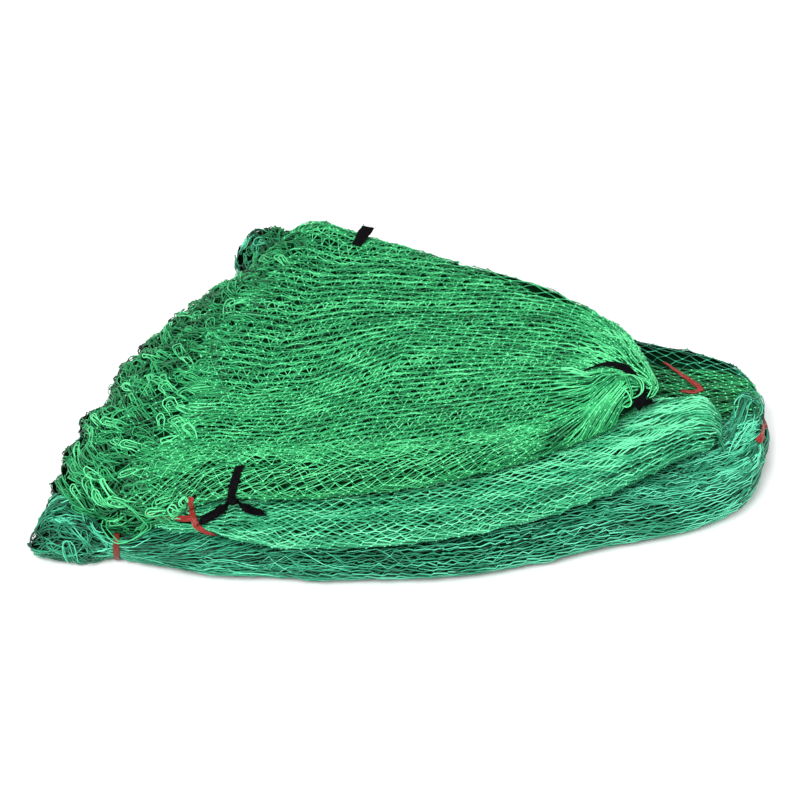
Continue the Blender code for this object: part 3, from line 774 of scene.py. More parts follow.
RIBBON_TAIL = [(-204, -203, 60, 0.4, 0, 5.5), (-213, -201, 58, 0.6, 0, 6.0), (-224, -197, 56, 0.4, 20, 5.5),
               (-238, -193, 55, 0.4, 0, 6.0), (-252, -189, 55, 0.6, 0, 6.0)]
RIBBON_V_LONG = [(286, 62, 32, 0.8, 20, 4.0), (302, 44, 32, 0.6, 10, 5.5), (314, 28, 33, 0.8, -10, 5.5),
                 (323, 15, 34, 0.8, 0, 6.0)]
RIBBON_V_SHORT = [(324, 17, 34, 1.0, 0, 5.5), (314, 12, 34, 0.5, 25, 4.0), (300, 15, 33, 0.3, 40, 3.0)]
RIBBON_END = [(386, -20, 32, 0.5, 35, 5.0), (386, -34, 34, 0.5, 15, 6.0), (384, -48, 38, 0.5, 0, 6.5),
              (379, -61, 42, 0.6, 0, 7.0), (371, -76, 44, 0.5, 0, 7.5)]
TIE_GAP = 0.25            # the gap that every point of a tie keeps to the tiers
ROUTE_GAP = 0.5           # and the one that its middle line keeps, besides the lift of its route
STRIP_POINTS = 9          # points across a tie
TIE_STEP = 1.2            # the length from one of its rows of points to the next
FRAY = 0.2                # the radius of a frayed thread
TIE_ROOM = 0.4            # how high a tie stays above the ground


def strip(line, up, width, roll, thickness, pleat, seed, closed=False, skew=(0, 0)):
    """Adds a ribbon along a line: crumpled lengthwise by pleat millimetres, and kept off the netting. skew is
    how far each end is cut on the slant. Returns its lower side's points and its directions."""
    ahead = unit(np.roll(line, -1, 0) - np.roll(line, 1, 0) if closed else np.gradient(line, axis=0))
    side = unit(np.cross(ahead, up))
    up = np.cross(side, ahead)
    angle = np.radians(roll)[:, None]
    side, up = side * np.cos(angle) + up * np.sin(angle), up * np.cos(angle) - side * np.sin(angle)
    run = length_along(line)
    across = np.linspace(-1, 1, STRIP_POINTS)
    phase = np.random.default_rng(seed).uniform(0, 6, 4)
    size = pleat * (0.65 + 0.35 * np.sin(run / 6 + phase[0]))[:, None]
    folds = np.sin(math.pi * (2.2 * across + 0.5 * np.sin(run[:, None] / 11 + phase[1])) + phase[2])
    high = size * folds + 0.35 * pleat * np.sin(run[:, None] / 2.3 + 3 * across + phase[3])
    sideways = across * width[:, None] / 2
    lower = line[:, None] + side[:, None] * sideways[..., None] + up[:, None] * high[..., None]
    for amount, near in zip(skew, (run, run[-1] - run)):
        slant = amount * across * np.clip(1 - near / 8, 0, 1)[:, None]
        lower = lower + ahead[:, None] * slant[..., None]
    lower = kept_off(lower.reshape(-1, 3), TIE_GAP).reshape(lower.shape)
    points = np.concatenate([lower.reshape(-1, 3), (lower + up[:, None] * thickness).reshape(-1, 3)])
    index = np.arange(len(points)).reshape(2, *lower.shape[:2])
    following = np.roll(index, -1, 1) if closed else index[:, 1:]
    (a, b), (c, d) = index if closed else index[:, :-1], following
    quads = [(a[:, :-1], c[:, :-1], c[:, 1:], a[:, 1:]), (b[:, :-1], b[:, 1:], d[:, 1:], d[:, :-1]),
             (a[:, 0], b[:, 0], d[:, 0], c[:, 0]), (a[:, -1], c[:, -1], d[:, -1], b[:, -1])]
    if not closed:
        quads += [(a[0, :-1], a[0, 1:], b[0, 1:], b[0, :-1]), (c[-1, :-1], d[-1, :-1], d[-1, 1:], c[-1, 1:])]
    faces = triangles(np.concatenate([np.stack(corners, -1).reshape(-1, 4) for corners in quads]))
    heap.add(hold_above_ground(points, TIE_ROOM), faces, np.tile(sideways.ravel(), 2),
             np.tile(np.repeat(run, STRIP_POINTS), 2))
    return lower, ahead, up


def tie(route, thickness, pleat, seed, taut=0, skew=(0, 0), frays=(0, 0)):
    """Adds a ribbon or tape along a route, with frayed threads at its ends. Returns its length."""
    route = np.array(route, float)
    fine = rows_between(route, np.linspace(0, len(route) - 1, 12 * (len(route) - 1) + 1))
    line = resting(fine[:, :3] - CENTRE, ROUTE_GAP + np.maximum(fine[:, 3], 0))
    if taut:
        line = drawn_taut(line, ROUTE_GAP, taut)
    length = length_along(line)
    count = max(int(np.linalg.norm(np.diff(line, axis=0), axis=1).sum() / TIE_STEP), 12)
    wanted = np.linspace(0, length[-1], count)
    roll, width = (np.interp(wanted, length, fine[:, k]) for k in (4, 5))
    line = softened(evenly_spaced(line, count), 1)
    up = unit(softened(unit(upward(line)), 4))
    lower, ahead, up = strip(line, up, width, roll, thickness, pleat, seed, skew=skew)
    rng = np.random.default_rng(seed)
    for end, way, number in ((0, -1, frays[0]), (-1, 1, frays[1])):
        if number:
            start = lower[end][rng.integers(0, STRIP_POINTS, number)] + rng.normal(0, 0.3, (number, 3))
            way = unit(ahead[end] * way + rng.normal(0, 0.35, (number, 3)))
            share = np.linspace(0, 1, 4)[None, :, None] * rng.uniform(1.5, 5, (number, 1, 1))
            threads = start[:, None] + way[:, None] * share + rng.normal(0, 0.25, (number, 4, 3))
            threads = threads + up[end] * 2 * FRAY
            points, faces, _ = tubes(threads, up[end] + 0 * threads, np.ones((number, 3), bool),
                                     np.full((number, 4), FRAY))
            heap.add(points, faces, 0.0, 0.0)
    return length[-1]


def tie_piece(name, material, node, loose_to=-math.inf):
    """Makes a tie's piece of the heap. Its points hold the netting down, apart from those of a loose tail,
    which lie up to loose_to on the X axis."""
    at = np.concatenate([points for points, _, _, _ in heap.parts])
    tie_points.extend(at[at[:, 0] > loose_to])
    made = heap.piece(name, material)
    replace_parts(made, node)
    return made


# ---------------------------------------------------------------- materials
class Material:
    """A principled material, with short ways to add nodes. An input is a number or another node's output."""

    def __init__(self, name, roughness, specular=0.5):
        self.made = bpy.data.materials.new(name)
        self.made.use_nodes = True
        self.nodes, self.links = self.made.node_tree.nodes, self.made.node_tree.links
        self.shader = self.nodes["Principled BSDF"]
        self.give(self.shader.inputs["Roughness"], roughness)
        self.give(self.shader.inputs["Specular IOR Level"], specular)

    def give(self, socket, value):
        if isinstance(value, bpy.types.NodeSocket):
            self.links.new(value, socket)
        else:
            socket.default_value = value

    def node(self, kind, **inputs):
        made = self.nodes.new("ShaderNode" + kind)
        for name, value in inputs.items():
            self.give(made.inputs[name], value)
        return made

    def attribute(self, name):
        made = self.node("Attribute")
        made.attribute_name = name
        return made.outputs["Fac"]

    def math(self, operation, *values):
        made = self.node("Math")
        made.operation = operation
        for socket, value in zip(made.inputs, values):
            self.give(socket, value)
        return made.outputs[0]

    def noise(self, scale, **inputs):
        """Noise over the object's coordinates, unless a Vector is given."""
        if "Vector" not in inputs:
            inputs["Vector"] = self.node("TexCoord").outputs["Object"]
        return self.node("TexNoise", Scale=scale, **inputs).outputs["Fac"]

    def colour(self, value, *stops):
        """Colours the shader by a value, through (value, colour) stops."""
        made = self.node("ValToRGB", Fac=value)
        elements = made.color_ramp.elements
        for element, (place, colour) in zip(elements, (stops[0], stops[-1])):
            element.position, element.color = place, (*colour, 1)
        for place, colour in stops[1:-1]:
            elements.new(place).color = (*colour, 1)
        self.give(self.shader.inputs["Base Color"], made.outputs["Color"])

    def bump(self, height, distance, strength):
        made = self.node("Bump", Distance=distance, Strength=strength, Height=height)
        self.give(self.shader.inputs["Normal"], made.outputs["Normal"])


def twine_material(name, dark, middle, light):
    """Twisted polyethylene twine: a shade of green for each strand, with its twist as bump. The ramp runs
    from a nearly black painted shade up to a painted highlight.
    """
    made = Material(name, 0.42)
    mottled = made.math("MULTIPLY_ADD", made.noise(260.0), 0.35, -0.17)
    shade = made.math("ADD", made.attribute("shade"), mottled)
    deepest = tuple(0.15 * part for part in dark)
    made.colour(made.math("MULTIPLY_ADD", shade, 2 / 3, 1 / 3),
                (0.0, deepest), (1 / 3, dark), (2 / 3, middle), (1.0, light))
    turn = made.math("MULTIPLY", made.attribute("twist"), 4 * math.pi)
    made.bump(made.math("SINE", turn), 0.0002, 0.6)
    return made.made


def core_material():
    """Painted shade in the depth of the folds: nearly black, and mottled."""
    made = Material("net_inside", 1.0, 0.0)
    total = made.math("MULTIPLY", made.attribute("shade"), made.noise(180.0))
    made.colour(made.math("MULTIPLY", total, 2.0),
                (0.0, (0.0005, 0.0025, 0.001)), (0.5, (0.002, 0.022, 0.008)), (1.0, (0.006, 0.06, 0.02)))
    return made.made


def tape_material():
    """Black woven polyester tape: a fine plain weave, lighter and darker in a checker with the weave, and
    mottled a little.
    """
    made = Material("black_tape", 0.72, 0.04)
    across = made.math("SINE", made.math("MULTIPLY", made.attribute("shade"), 7.5))
    along = made.math("SINE", made.math("MULTIPLY", made.attribute("twist"), 6.5))
    weave = made.math("MULTIPLY", along, across)
    made.colour(made.math("MULTIPLY_ADD", weave, 0.35, made.noise(220.0)),
                (0.1, (0.0012, 0.001, 0.0014)), (0.6, (0.0035, 0.003, 0.004)), (1.0, (0.014, 0.012, 0.016)))
    made.bump(weave, 0.00025, 0.8)
    return made.made


def ribbon_material(name, dark, light):
    """Glossy plastic binding ribbon, streaked darker and paler along its length."""
    made = Material(name, 0.34, 0.35)
    across = made.math("MULTIPLY", made.attribute("shade"), 1.6)
    along = made.math("MULTIPLY", made.attribute("twist"), 0.16)
    place = made.node("CombineXYZ", X=across, Y=along).outputs["Vector"]
    streaks = made.noise(1.0, Vector=place, Detail=4.0)
    middle = tuple(0.5 * a + 0.5 * b for a, b in zip(dark, light))
    made.colour(streaks, (0.3, dark), (0.52, middle), (0.72, light))
    made.bump(streaks, 0.0005, 0.7)
    return made.made


# ---------------------------------------------------------------- camera, light and floor
def link(name, data, place=(0, 0, 0), target=None):
    """Links an object into the scene, turned towards a target if there is one."""
    made = bpy.data.objects.new(name, data)
    made.location = place
    if target:
        made.rotation_euler = (Vector(target) - made.location).to_track_quat("-Z", "Y").to_euler()
    bpy.context.scene.collection.objects.link(made)
    return made


def stage():
    camera = bpy.data.cameras.new("camera")
    camera.lens, camera.sensor_width, camera.shift_y, camera.clip_end = 100, 36, -0.0137, 20
    target, high, distance = Vector((-0.0098, -0.0095, 0.05)), math.radians(42), 2.3556
    place = target + Vector((0, -math.cos(high), math.sin(high))) * distance
    bpy.context.scene.camera = link("camera", camera, place, target)
    mesh = bpy.data.meshes.new("floor")
    mesh.from_pydata([(x, y, -0.0003) for x, y in ((-6, -6), (6, -6), (6, 6), (-6, 6))], [], [(0, 1, 2, 3)])
    paper = Material("floor", 0.9)
    paper.shader.inputs["Base Color"].default_value = (0.9, 0.9, 0.9, 1)
    mesh.materials.append(paper.made)
    link("floor", mesh)
    world = bpy.data.worlds.new("studio")
    world.use_nodes = True
    world.node_tree.nodes["Background"].inputs["Color"].default_value = (0.94, 0.97, 1, 1)
    world.node_tree.nodes["Background"].inputs["Strength"].default_value = 0.4
    bpy.context.scene.world = world
    for name, place, size, power in (
        ("key", (-0.9, -1.5, 2.2), 1.4, 76),
        ("fill", (1.8, -0.6, 1.6), 1.8, 22),
        ("top", (0.2, 1.2, 2.4), 1.6, 26),
    ):
        light = bpy.data.lights.new(name, "AREA")
        light.size, light.energy = size, power
        link(name, light, place, (0, 0, 0.04))
    bpy.context.scene.view_settings.view_transform = "Standard"


stage()


# ---------------------------------------------------------------- the tiers' settings
# How far round the fan's strands are shifted: they swing back in an S at the fan's middle, and turn over
# towards the back at its neck. A row is a place, then the shift at columns 0, 0.25, 0.5, 0.75 and 1.
FAN_SHIFT = np.array([
    (0.0, 0.05, -0.05, -0.16, -0.15, -0.10),
    (3.0, 0.05, -0.06, -0.18, -0.16, -0.10),
    (4.2, 0.05, -0.09, -0.21, -0.18, -0.10),
    (5.0, 0.03, -0.09, -0.17, -0.10, -0.06),
    (5.5, 0.01, -0.07, -0.08, -0.07, -0.04),
    (6.0, 0.00, -0.03, -0.01, -0.04, -0.02),
    (7.0, 0.00, 0.00, 0.00, 0.00, 0.00),
    (8.0, 0.01, 0.01, 0.01, 0.04, 0.03),
    (8.8, 0.01, 0.00, 0.00, 0.05, 0.05),
    (9.4, 0.08, 0.00, -0.02, 0.02, 0.03),
    (10.0, 0.26, 0.12, -0.03, -0.06, -0.03),
    (10.5, 0.41, 0.20, -0.03, -0.13, -0.10),
    (12.0, 0.46, 0.22, -0.02, -0.22, -0.25),
])


def fan_flow(place, column):
    """The round coordinate of the fan's strand column at a place."""
    place, column = np.broadcast_arrays(place, column)
    across = np.clip(column, 0, 1) * 4
    first = np.minimum(across.astype(int), 3)
    share = across - first
    shifts = np.stack([np.interp(place, FAN_SHIFT[:, 0], FAN_SHIFT[:, k + 1]) for k in range(5)], -1)
    near, far = (np.take_along_axis(shifts, first[..., None] + k, -1)[..., 0] for k in (0, 1))
    return column + near * (1 - share) + far * share


def eased(value, start, length):
    """0 up to a start, and 1 from a length past it."""
    return np.clip((value - start) / length, 0, 1)


def frill_width(turn):
    """How far the frill's loops reach in from its edge, in hundreds of millimetres."""
    return np.interp(turn, [0.0, 0.1, 0.3, 0.5, 0.6, 0.75, 0.9], [1.65, 1.65, 1.72, 1.38, 1.40, 1.08, 1.04])


def from_rim(turn):
    """How far a round coordinate is from the back edge."""
    return np.abs(turn % 2 - 1.0)


def fan_inside_painted_shade(place, turn):
    """Painted shade of the dark inside: nearly black under the frill's open edge and along the back rim."""
    return 0.5 * eased(top.from_end(place, turn), 30, 25) * np.clip(from_rim(turn) / 0.12 - 0.4, 0, 1)


def fan_painted_light(place, turn):
    """Painted light and shade on the fan's strands: the frill's open edge, its far corner and the back rim
    are painted darker, and its front lighter.
    """
    far = top.from_end(place, turn)
    frill_only = np.clip((120 - far) / 40, 0, 1)
    corner = eased(turn, 0.72, 0.15) * frill_only
    rim = eased(turn % 2, 0.84, 0.07) * np.interp(place, [4.5, 6.5, 9.2, 10.0], [0, 1, 1, 0])
    front = np.clip((0.45 - turn) / 0.3, 0, 1) * frill_only
    bright = np.clip(0.2 + far / 50, 0.25, 1.0) + 0.12 * front
    return bright - 0.35 * corner - 0.35 * rim * (turn % 2 < 1.3)


def fan_core(place, turn):
    return -0.5 - 4.0 * eased(top.from_end(place, turn), 22, 25) * np.clip(from_rim(turn) / 0.07 - 0.8, 0, 1)


def fan_edge_depth(place, turn):
    """The netting at the back rim lies on the core, and that in the frill lies lower, under the loops."""
    return np.where(top.from_end(place, turn) > 60, 0.2, -1.4)


def fan_mess(place, column):
    """How untidy the fan's netting is: calm and pleated at its middle, loose at its front edge and frill."""
    front = np.clip((0.13 - column) / 0.08, 0, 1)
    left = np.clip(frill_width(column) * 1.2 - top.from_end(place, column) / 100, 0, 0.3) / 0.3
    return 0.3 + 0.9 * np.maximum(np.maximum(front, left), eased(place, 8.6, 0.8))


def bottom_inside_painted_shade(place, turn):
    """Painted shade of the dark inside: nearly black under the flare's end and along the back rim."""
    rim = np.maximum(np.clip(from_rim(turn) / 0.08 - 1.1, 0, 1), np.clip((8 - place) / 2, 0, 1))
    end = np.where(from_rim(turn) < 0.6, np.clip((16.9 - place) / 0.5, 0, 1), 1.0)
    return 0.5 * eased(place, 0.3, 1.2) * rim * end


# Painted light and shade on the bottom tier's strands: a little lighter over most of it, and darker over the
# flare, near the ribbon ring and at its first end.
def bottom_painted_light(place, turn):
    flare = np.clip((4.2 - place) / 1.5, 0, 1)
    tied = np.clip((8.5 - place) / 3, 0, 1) * (place > 4.2)
    return 1.1 - 0.25 * flare - 0.22 * tied - 0.25 * np.clip((1.0 - place) / 1.2, 0, 1)


def bottom_core(place, turn):
    shallow = 4.8 * np.clip(1.7 - from_rim(turn) / 0.1, 0, 1) * np.clip((16.5 - place) / 0.5, 0, 1)
    return np.maximum(-4.5 + shallow, -4.5 + 1.5 * (1 - 2 * bottom_inside_painted_shade(place, turn)))


bottom = Skin(BOTTOM_TIER, 9, tone=bottom_inside_painted_shade, bright=bottom_painted_light, core=bottom_core)
middle = Skin(MIDDLE_TIER, 6)
top = Skin(TOP_TIER, 7, frill, fan_flow, ruffled, fan_inside_painted_shade, fan_painted_light, fan_core)
tiers = solid_of((bottom, middle, top))
# One twine in three colourings. minty is a lighter, bluer copy of green, and bluish a bluer one: painted
# light and painted reflection of the bluish surroundings.
green = twine_material("net_twine", (0.003, 0.17, 0.05), (0.020, 0.43, 0.135), (0.15, 0.88, 0.36))
minty = twine_material("net_twine_minty", (0.004, 0.17, 0.07), (0.030, 0.46, 0.20), (0.20, 0.94, 0.50))
bluish = twine_material("net_twine_bluish", (0.003, 0.14, 0.07), (0.022, 0.39, 0.20), (0.16, 0.88, 0.55))


# ---------------------------------------------------------------- the inside
THIN_TIER = 16.0          # a tier thinner than this has its inside drawn in less
INSIDE_ROOM = 2.0         # how high the inside stays above the ground


def inside():
    """The dark folded netting under the strands, its darkness painted shade: the tiers drawn in by a few
    millimetres, as closed lofts.
    """
    for skin in (bottom, middle, top):
        along = np.linspace(-0.98, skin.last + 0.98, skin.last * 5 + 11)
        place, turn = np.meshgrid(along, np.arange(80) / 40, indexing="ij")
        at, _ = skin.at(place, turn)
        deep = value_at(skin.core, place, turn) * np.minimum(1, skin.thickness(place) / THIN_TIER)
        points, _ = skin.at(place, turn, deep + 0.5 * relief(at))
        index = np.arange(place.size).reshape(place.shape)
        ends = []
        for ring, order in ((index[0], 1), (index[-1], -1)):
            for k in range(1, len(ring) // 2):
                ends.append((ring[k], ring[k + 1], ring[-k - 1], ring[-k])[::order])
            ends.append((ring[0], ring[1], ring[-1], ring[0])[::order])
        faces = triangles(np.concatenate([rings_joined(index).reshape(-1, 4), np.array(ends)]))
        shade = value_at(skin.tone, place, turn).ravel()
        heap.add(hold_above_ground(points, INSIDE_ROOM).reshape(-1, 3), faces, shade, 0.0)
    made = heap.piece("net_inside", core_material())
    return made


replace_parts(inside(), "net")

# ---------------------------------------------------------------- the ties' pieces
TAPE_THICK, TAPE_PLEAT = 0.6, 0.3
KNOT_PLEAT = 0.35         # the knot's arms are creased a little more than the other tapes
RIBBON_THICK, RIBBON_PLEAT, RING_PLEAT = 0.4, 0.8, 0.7
TAPE_KNOT = (4.6, 6.0, 3.6)               # half the tape knot's length, width and height
TAPE_KNOT_LIFT = 4.4      # how far the knot's middle is above the net
black = tape_material()
red = ribbon_material("red_ribbon", (0.09, 0.003, 0.002), (0.47, 0.038, 0.024))
dull_red = ribbon_material("red_ribbon_ring", (0.07, 0.006, 0.003), (0.29, 0.05, 0.022))
tie_points = []
knot_at, knot_up, _, _ = tiers.find_nearest(np.array([-164.5, -200.5, 84]) - CENTRE)
ball = bmesh.new()
bmesh.ops.create_icosphere(ball, subdivisions=4, radius=1.0)
points = np.array([vertex.co for vertex in ball.verts])
faces = np.array([[vertex.index for vertex in face.verts] for face in ball.faces])
ball.free()
x, y, z = points.T
creased = 1 + 0.10 * np.sin(5 * x + 7 * y) + 0.06 * np.sin(11 * z + 4 * x)
tilt = np.array(Vector((0, 0, 1)).rotation_difference(knot_up).to_matrix())
points = (points * TAPE_KNOT * creased[:, None]) @ tilt.T + np.array(knot_at + knot_up * TAPE_KNOT_LIFT)
heap.add(points, faces, points[:, 0] * 0.8, points[:, 2] * 0.8)
tie_points.extend(points)
knot = heap.piece("black_tie_front_knot", black)
lengths = [tie(TAPE_UP, TAPE_THICK, KNOT_PLEAT, 500, taut=4, skew=(0, 2.5), frays=(0, 10)),
           tie(TAPE_LEFT, TAPE_THICK, KNOT_PLEAT, 501, taut=250, skew=(0, -2), frays=(0, 22)),
           tie(TAPE_RIGHT, TAPE_THICK, KNOT_PLEAT, 502, taut=250, skew=(0, 3), frays=(0, 22))]
tie_piece("black_tie_front_tape", black, "black_tie_front")
lengths = [tie(TAPE_NECK, TAPE_THICK, TAPE_PLEAT, 503, skew=(2, 0), frays=(8, 0)),
           tie(TAPE_NECK_TAIL, TAPE_THICK, TAPE_PLEAT, 505, skew=(0, 2), frays=(0, 8))]
tie_piece("black_tie_neck_tape", black, "black_tie_neck")
lengths = [tie(TAPE_BACK, TAPE_THICK, TAPE_PLEAT, 504, skew=(0, 2), frays=(0, 12))]
tie_piece("black_tie_back_tape", black, "black_tie_back")
turn = np.linspace(0, 2, 121)[:-1]
line, up = bottom.at(RIBBON_NECK_PLACE + 0.06 * np.sin(math.pi * turn + 1), turn, ROUTE_GAP + 0 * turn)
wide, roll = 6.0 + 0.8 * np.sin(3 * math.pi * turn), 14 * np.sin(2 * math.pi * turn)
strip(line, softened(up, 2), wide, roll, RIBBON_THICK, RING_PLEAT, 505, closed=True)
tie_piece("red_tie_lower_ribbon", dull_red, "red_tie_lower")
for name, routes, seed, loose_to in (("middle_left", (RIBBON_MIDDLE, RIBBON_TAIL), 510, -219),
                                     ("middle_right", (RIBBON_V_LONG, RIBBON_V_SHORT), 520, -math.inf),
                                     ("right_end", (RIBBON_END,), 530, -math.inf)):
    lengths = [tie(route, RIBBON_THICK, RIBBON_PLEAT, seed + k) for k, route in enumerate(routes)]
    tie_piece(f"red_tie_{name}_ribbon", red, f"red_tie_{name}", loose_to=loose_to)

tie_tree = KDTree(len(tie_points))
for number, point in enumerate(tie_points):
    tie_tree.insert(point, number)
tie_tree.balance()
for skin in (bottom, middle, top):
    skin.open = openness(skin)
    far = [tie_tree.find(point)[2] for point in skin.grid.reshape(-1, 3)]
    skin.tied = np.array(far).reshape(skin.grid.shape[:2])


# ---------------------------------------------------------------- the fan
def put(name, material=green):
    heap.piece(name, material)


def outside_corner(turn):
    """Whether a point lies off the fan's back left corner, which has netting of its own."""
    return (turn < 0.86) | (turn > 1.3)


def edge_loops(low, high, outside=True):
    """A band along the frill's edge, either off the corner or on it."""
    return lambda place, turn, far: (far > low) & (far < high) & (outside_corner(turn) == outside)


def edge_net(high, outside=True):
    return lambda place, turn, at: (top.from_end(place, turn) < high) & (outside_corner(turn) == outside)


def fan_middle(place, turn, at):
    edge = 94 * frill_width(turn) + 10 * waves(21, at, 30, 30)
    rim = np.interp(place, [5.5, 7.5, 10], [0.955, 0.85, 0.90]) + 0.02 * waves(22, at, 60, 60)
    front = 0.09 + 0.02 * waves(25, at, 50, 50)
    return (top.from_end(place, turn) > edge) & (turn < rim) & ((turn > front) | (place > 8))


def fan_knots(place, turn, at):
    """The fine meshes don't show where the strands gather at the neck's front."""
    return fan_middle(place, turn, at) & ((place < 8.6) | (turn > 0.42))


def fan_front(place, turn, at):
    return (top.from_end(place, turn) > 120 + 10 * waves(21, at, 30, 30)) & (turn < 0.15) & (place < 8.8)


def sparse_rim(place, turn, at):
    """Where one wide-meshed layer lies over the black at the fan's back rim."""
    return (turn > 0.85) & (turn < 1.1) & (place > 5.8) & (place < 9.6)


def fan_edges(place, turn, at):
    far = top.from_end(place, turn)
    around = (far < 115 * frill_width(turn)) | (turn > 0.84)
    inward = ((far > 42) | (waves(23, at, 20, 20) > 0.7)) & (outside_corner(turn) | (far > 56))
    return around & inward & (~sparse_rim(place, turn, at) | (waves(29, at, 14, 30) > 0.1))


def fan_fringe(place, turn, at):
    """A few thin strands over the black outer edge of the frill, and more of them under it."""
    far = top.from_end(place, turn)
    return (far < 44) & ((waves(28, at, 16, 16) > 0.1) | (turn % 2 > 1.05)) & outside_corner(turn)


def frill_underside(place, turn, at):
    return top.from_end(place, turn) > 40


def fan_side(place, turn, at):
    """The fan's back side, below the rim."""
    return (turn > 0.98) & (top.from_end(place, turn) > 20)


RIBS = 50                 # pleats for each unit of the fan's round coordinate
pleated = dict(pleats=RIBS, mess=fan_mess, relief=0.3, steps=2, knots=True)
# The strands at the fan's neck look thicker, because they are gathered in twos and threes there.
lay(top, 3 * RIBS, -0.35, 1.1, 100, fan_middle, bar=11, depth=1.4, gather=0.9, zig=0.6, pleat_depth=3.0,
    ridge=1 / 6, group=3, crowd=2.8, twine=((7.0, 9.5), (1.35, 1.9)), knot_shade=0.5,
    tone=((8.5, 9.5), (-0.08, 0.15)), **pleated)
put("fan_ribs")
lay(top, RIBS, -0.35, 1.1, 103, fan_knots, bar=5.5, depth=1.2, pleat_depth=2.6, crowd=3.0, knot_shade=0.7,
    tone=-0.05, **pleated)
put("fan_meshes")
# Strands under the ribs, painted darker towards the neck: painted shade.
lay(top, 110, -0.35, 1.1, 103, fan_middle, bar=12.0, depth=-2.2, zig=0.8, relief=0.3, mess=fan_mess,
    tone=((8, 9), (-0.15, -0.5)))
put("fan_strands_below")
edges = dict(relief=0.5, mess=fan_mess, knots=True)
lay(top, 60, -0.35, 1.25, 101, fan_edges, bar=8.0, depth=fan_edge_depth, tone=-0.2, twine=1.3, **edges)
lay(top, 40, -0.35, 1.7, 105, fan_fringe, bar=12.0, depth=0.2, tone=0.1, crowd=1.5, twine=1.1, steps=2,
    **edges)
lay(top, 46, 0.76, 1.16, 113, sparse_rim, bar=13.0, depth=-1.0, tone=0.1, twine=1.2, steps=2, **edges)
# The fan's back side is painted dark: painted shade.
lay(top, 50, 0.9, 1.7, 106, fan_side, bar=12.0, depth=-0.2, tone=-0.6, twine=1.1, relief=0.5, mess=0.6)
put("fan_edges")
# Each layer is columns, depth, tone and zig. The lowest is painted darker: painted shade.
layers = ((84, 1.0, 0.15, 1.0), (96, 0.0, 0.1, 0.7), (110, -1.6, -0.15, 1.0))
for number, (columns, depth, tone, zig) in enumerate(layers):
    lay(top, columns, -0.06, 0.2, 110 + number, fan_front, bar=7.0, depth=depth, tone=tone, zig=zig,
        twine=1.1, relief=0.5, mess=1.3, flow=straight, knots=number < 1)
put("fan_front")
# The frill's swept strands lie under its loops and are painted darker: painted shade.
curls(top, band(54, 112, frill_width), (-0.1, 1.1), 401, 12.5, 2.0, (30, 62), (0.4, 2.4), way=-0.45, gap=3.2,
      shades=(-0.35, 0.5))
put("frill_strands")
hairpins(top, band(50, 104, frill_width, last=0.36), (-0.08, 0.4), 400, 16, way=0.5, length=(17, 36),
         width=(3, 7), shades=(-0.05, 0.85))
hairpins(top, band(44, 104, frill_width, first=0.34), (0.3, 1.05), 402, 17, way=0.5, length=(15, 32),
         lift=(1, 3.5), twine=1.4, shades=(-0.2, 0.7))
hairpins(top, edge_loops(6, 38), (-0.3, 1.3), 403, 20, way=0.3, spread=0.7, twine=1.0, nest=1,
         length=(10, 22), width=(3.5, 8), lift=(0.3, 1.2), shades=(0.6, 1.1))
put("frill_loops")
# Netting and loops round the frill's outer side, painted dark: painted shade.
lay(top, 44, -0.6, 1.6, 107, edge_net(60), bar=9.0, depth=-0.6, tone=-0.35)
lay(top, 60, 1.0, 2.0, 108, frill_underside, bar=11.0, depth=-0.1, tone=-0.1, loosen=None)
hairpins(top, edge_loops(2, 46), (-0.55, 1.5), 404, 13.5, way=0.4, spread=0.45, twine=1.3, length=(14, 30),
         width=(2.5, 6), lift=(0.2, 1.6), shades=(0.0, 0.45))
hairpins(top, band(2, 46), (1.0, 2.0), 405, 19, way=0.4, spread=0.5, twine=1.3, lift=(0.2, 1.4),
         shades=(0.2, 0.8))
put("frill_outside")
corner = dict(twine=1.5, flow=straight)
lay(top, 42, 0.8, 1.36, 109, edge_net(58, False), bar=15.0, depth=0.4, tone=0.6, mess=1.5, **corner)
lay(top, 44, 0.8, 1.36, 119, edge_net(60, False), bar=12.0, depth=-1.2, tone=-0.3, mess=1.0, **corner)
hairpins(top, edge_loops(6, 62, False), (0.84, 1.3), 406, 15, spread=0.8, width=(4, 8), lift=(0.3, 1.6),
         shades=(0.5, 1.4))
put("frill_corner", bluish)

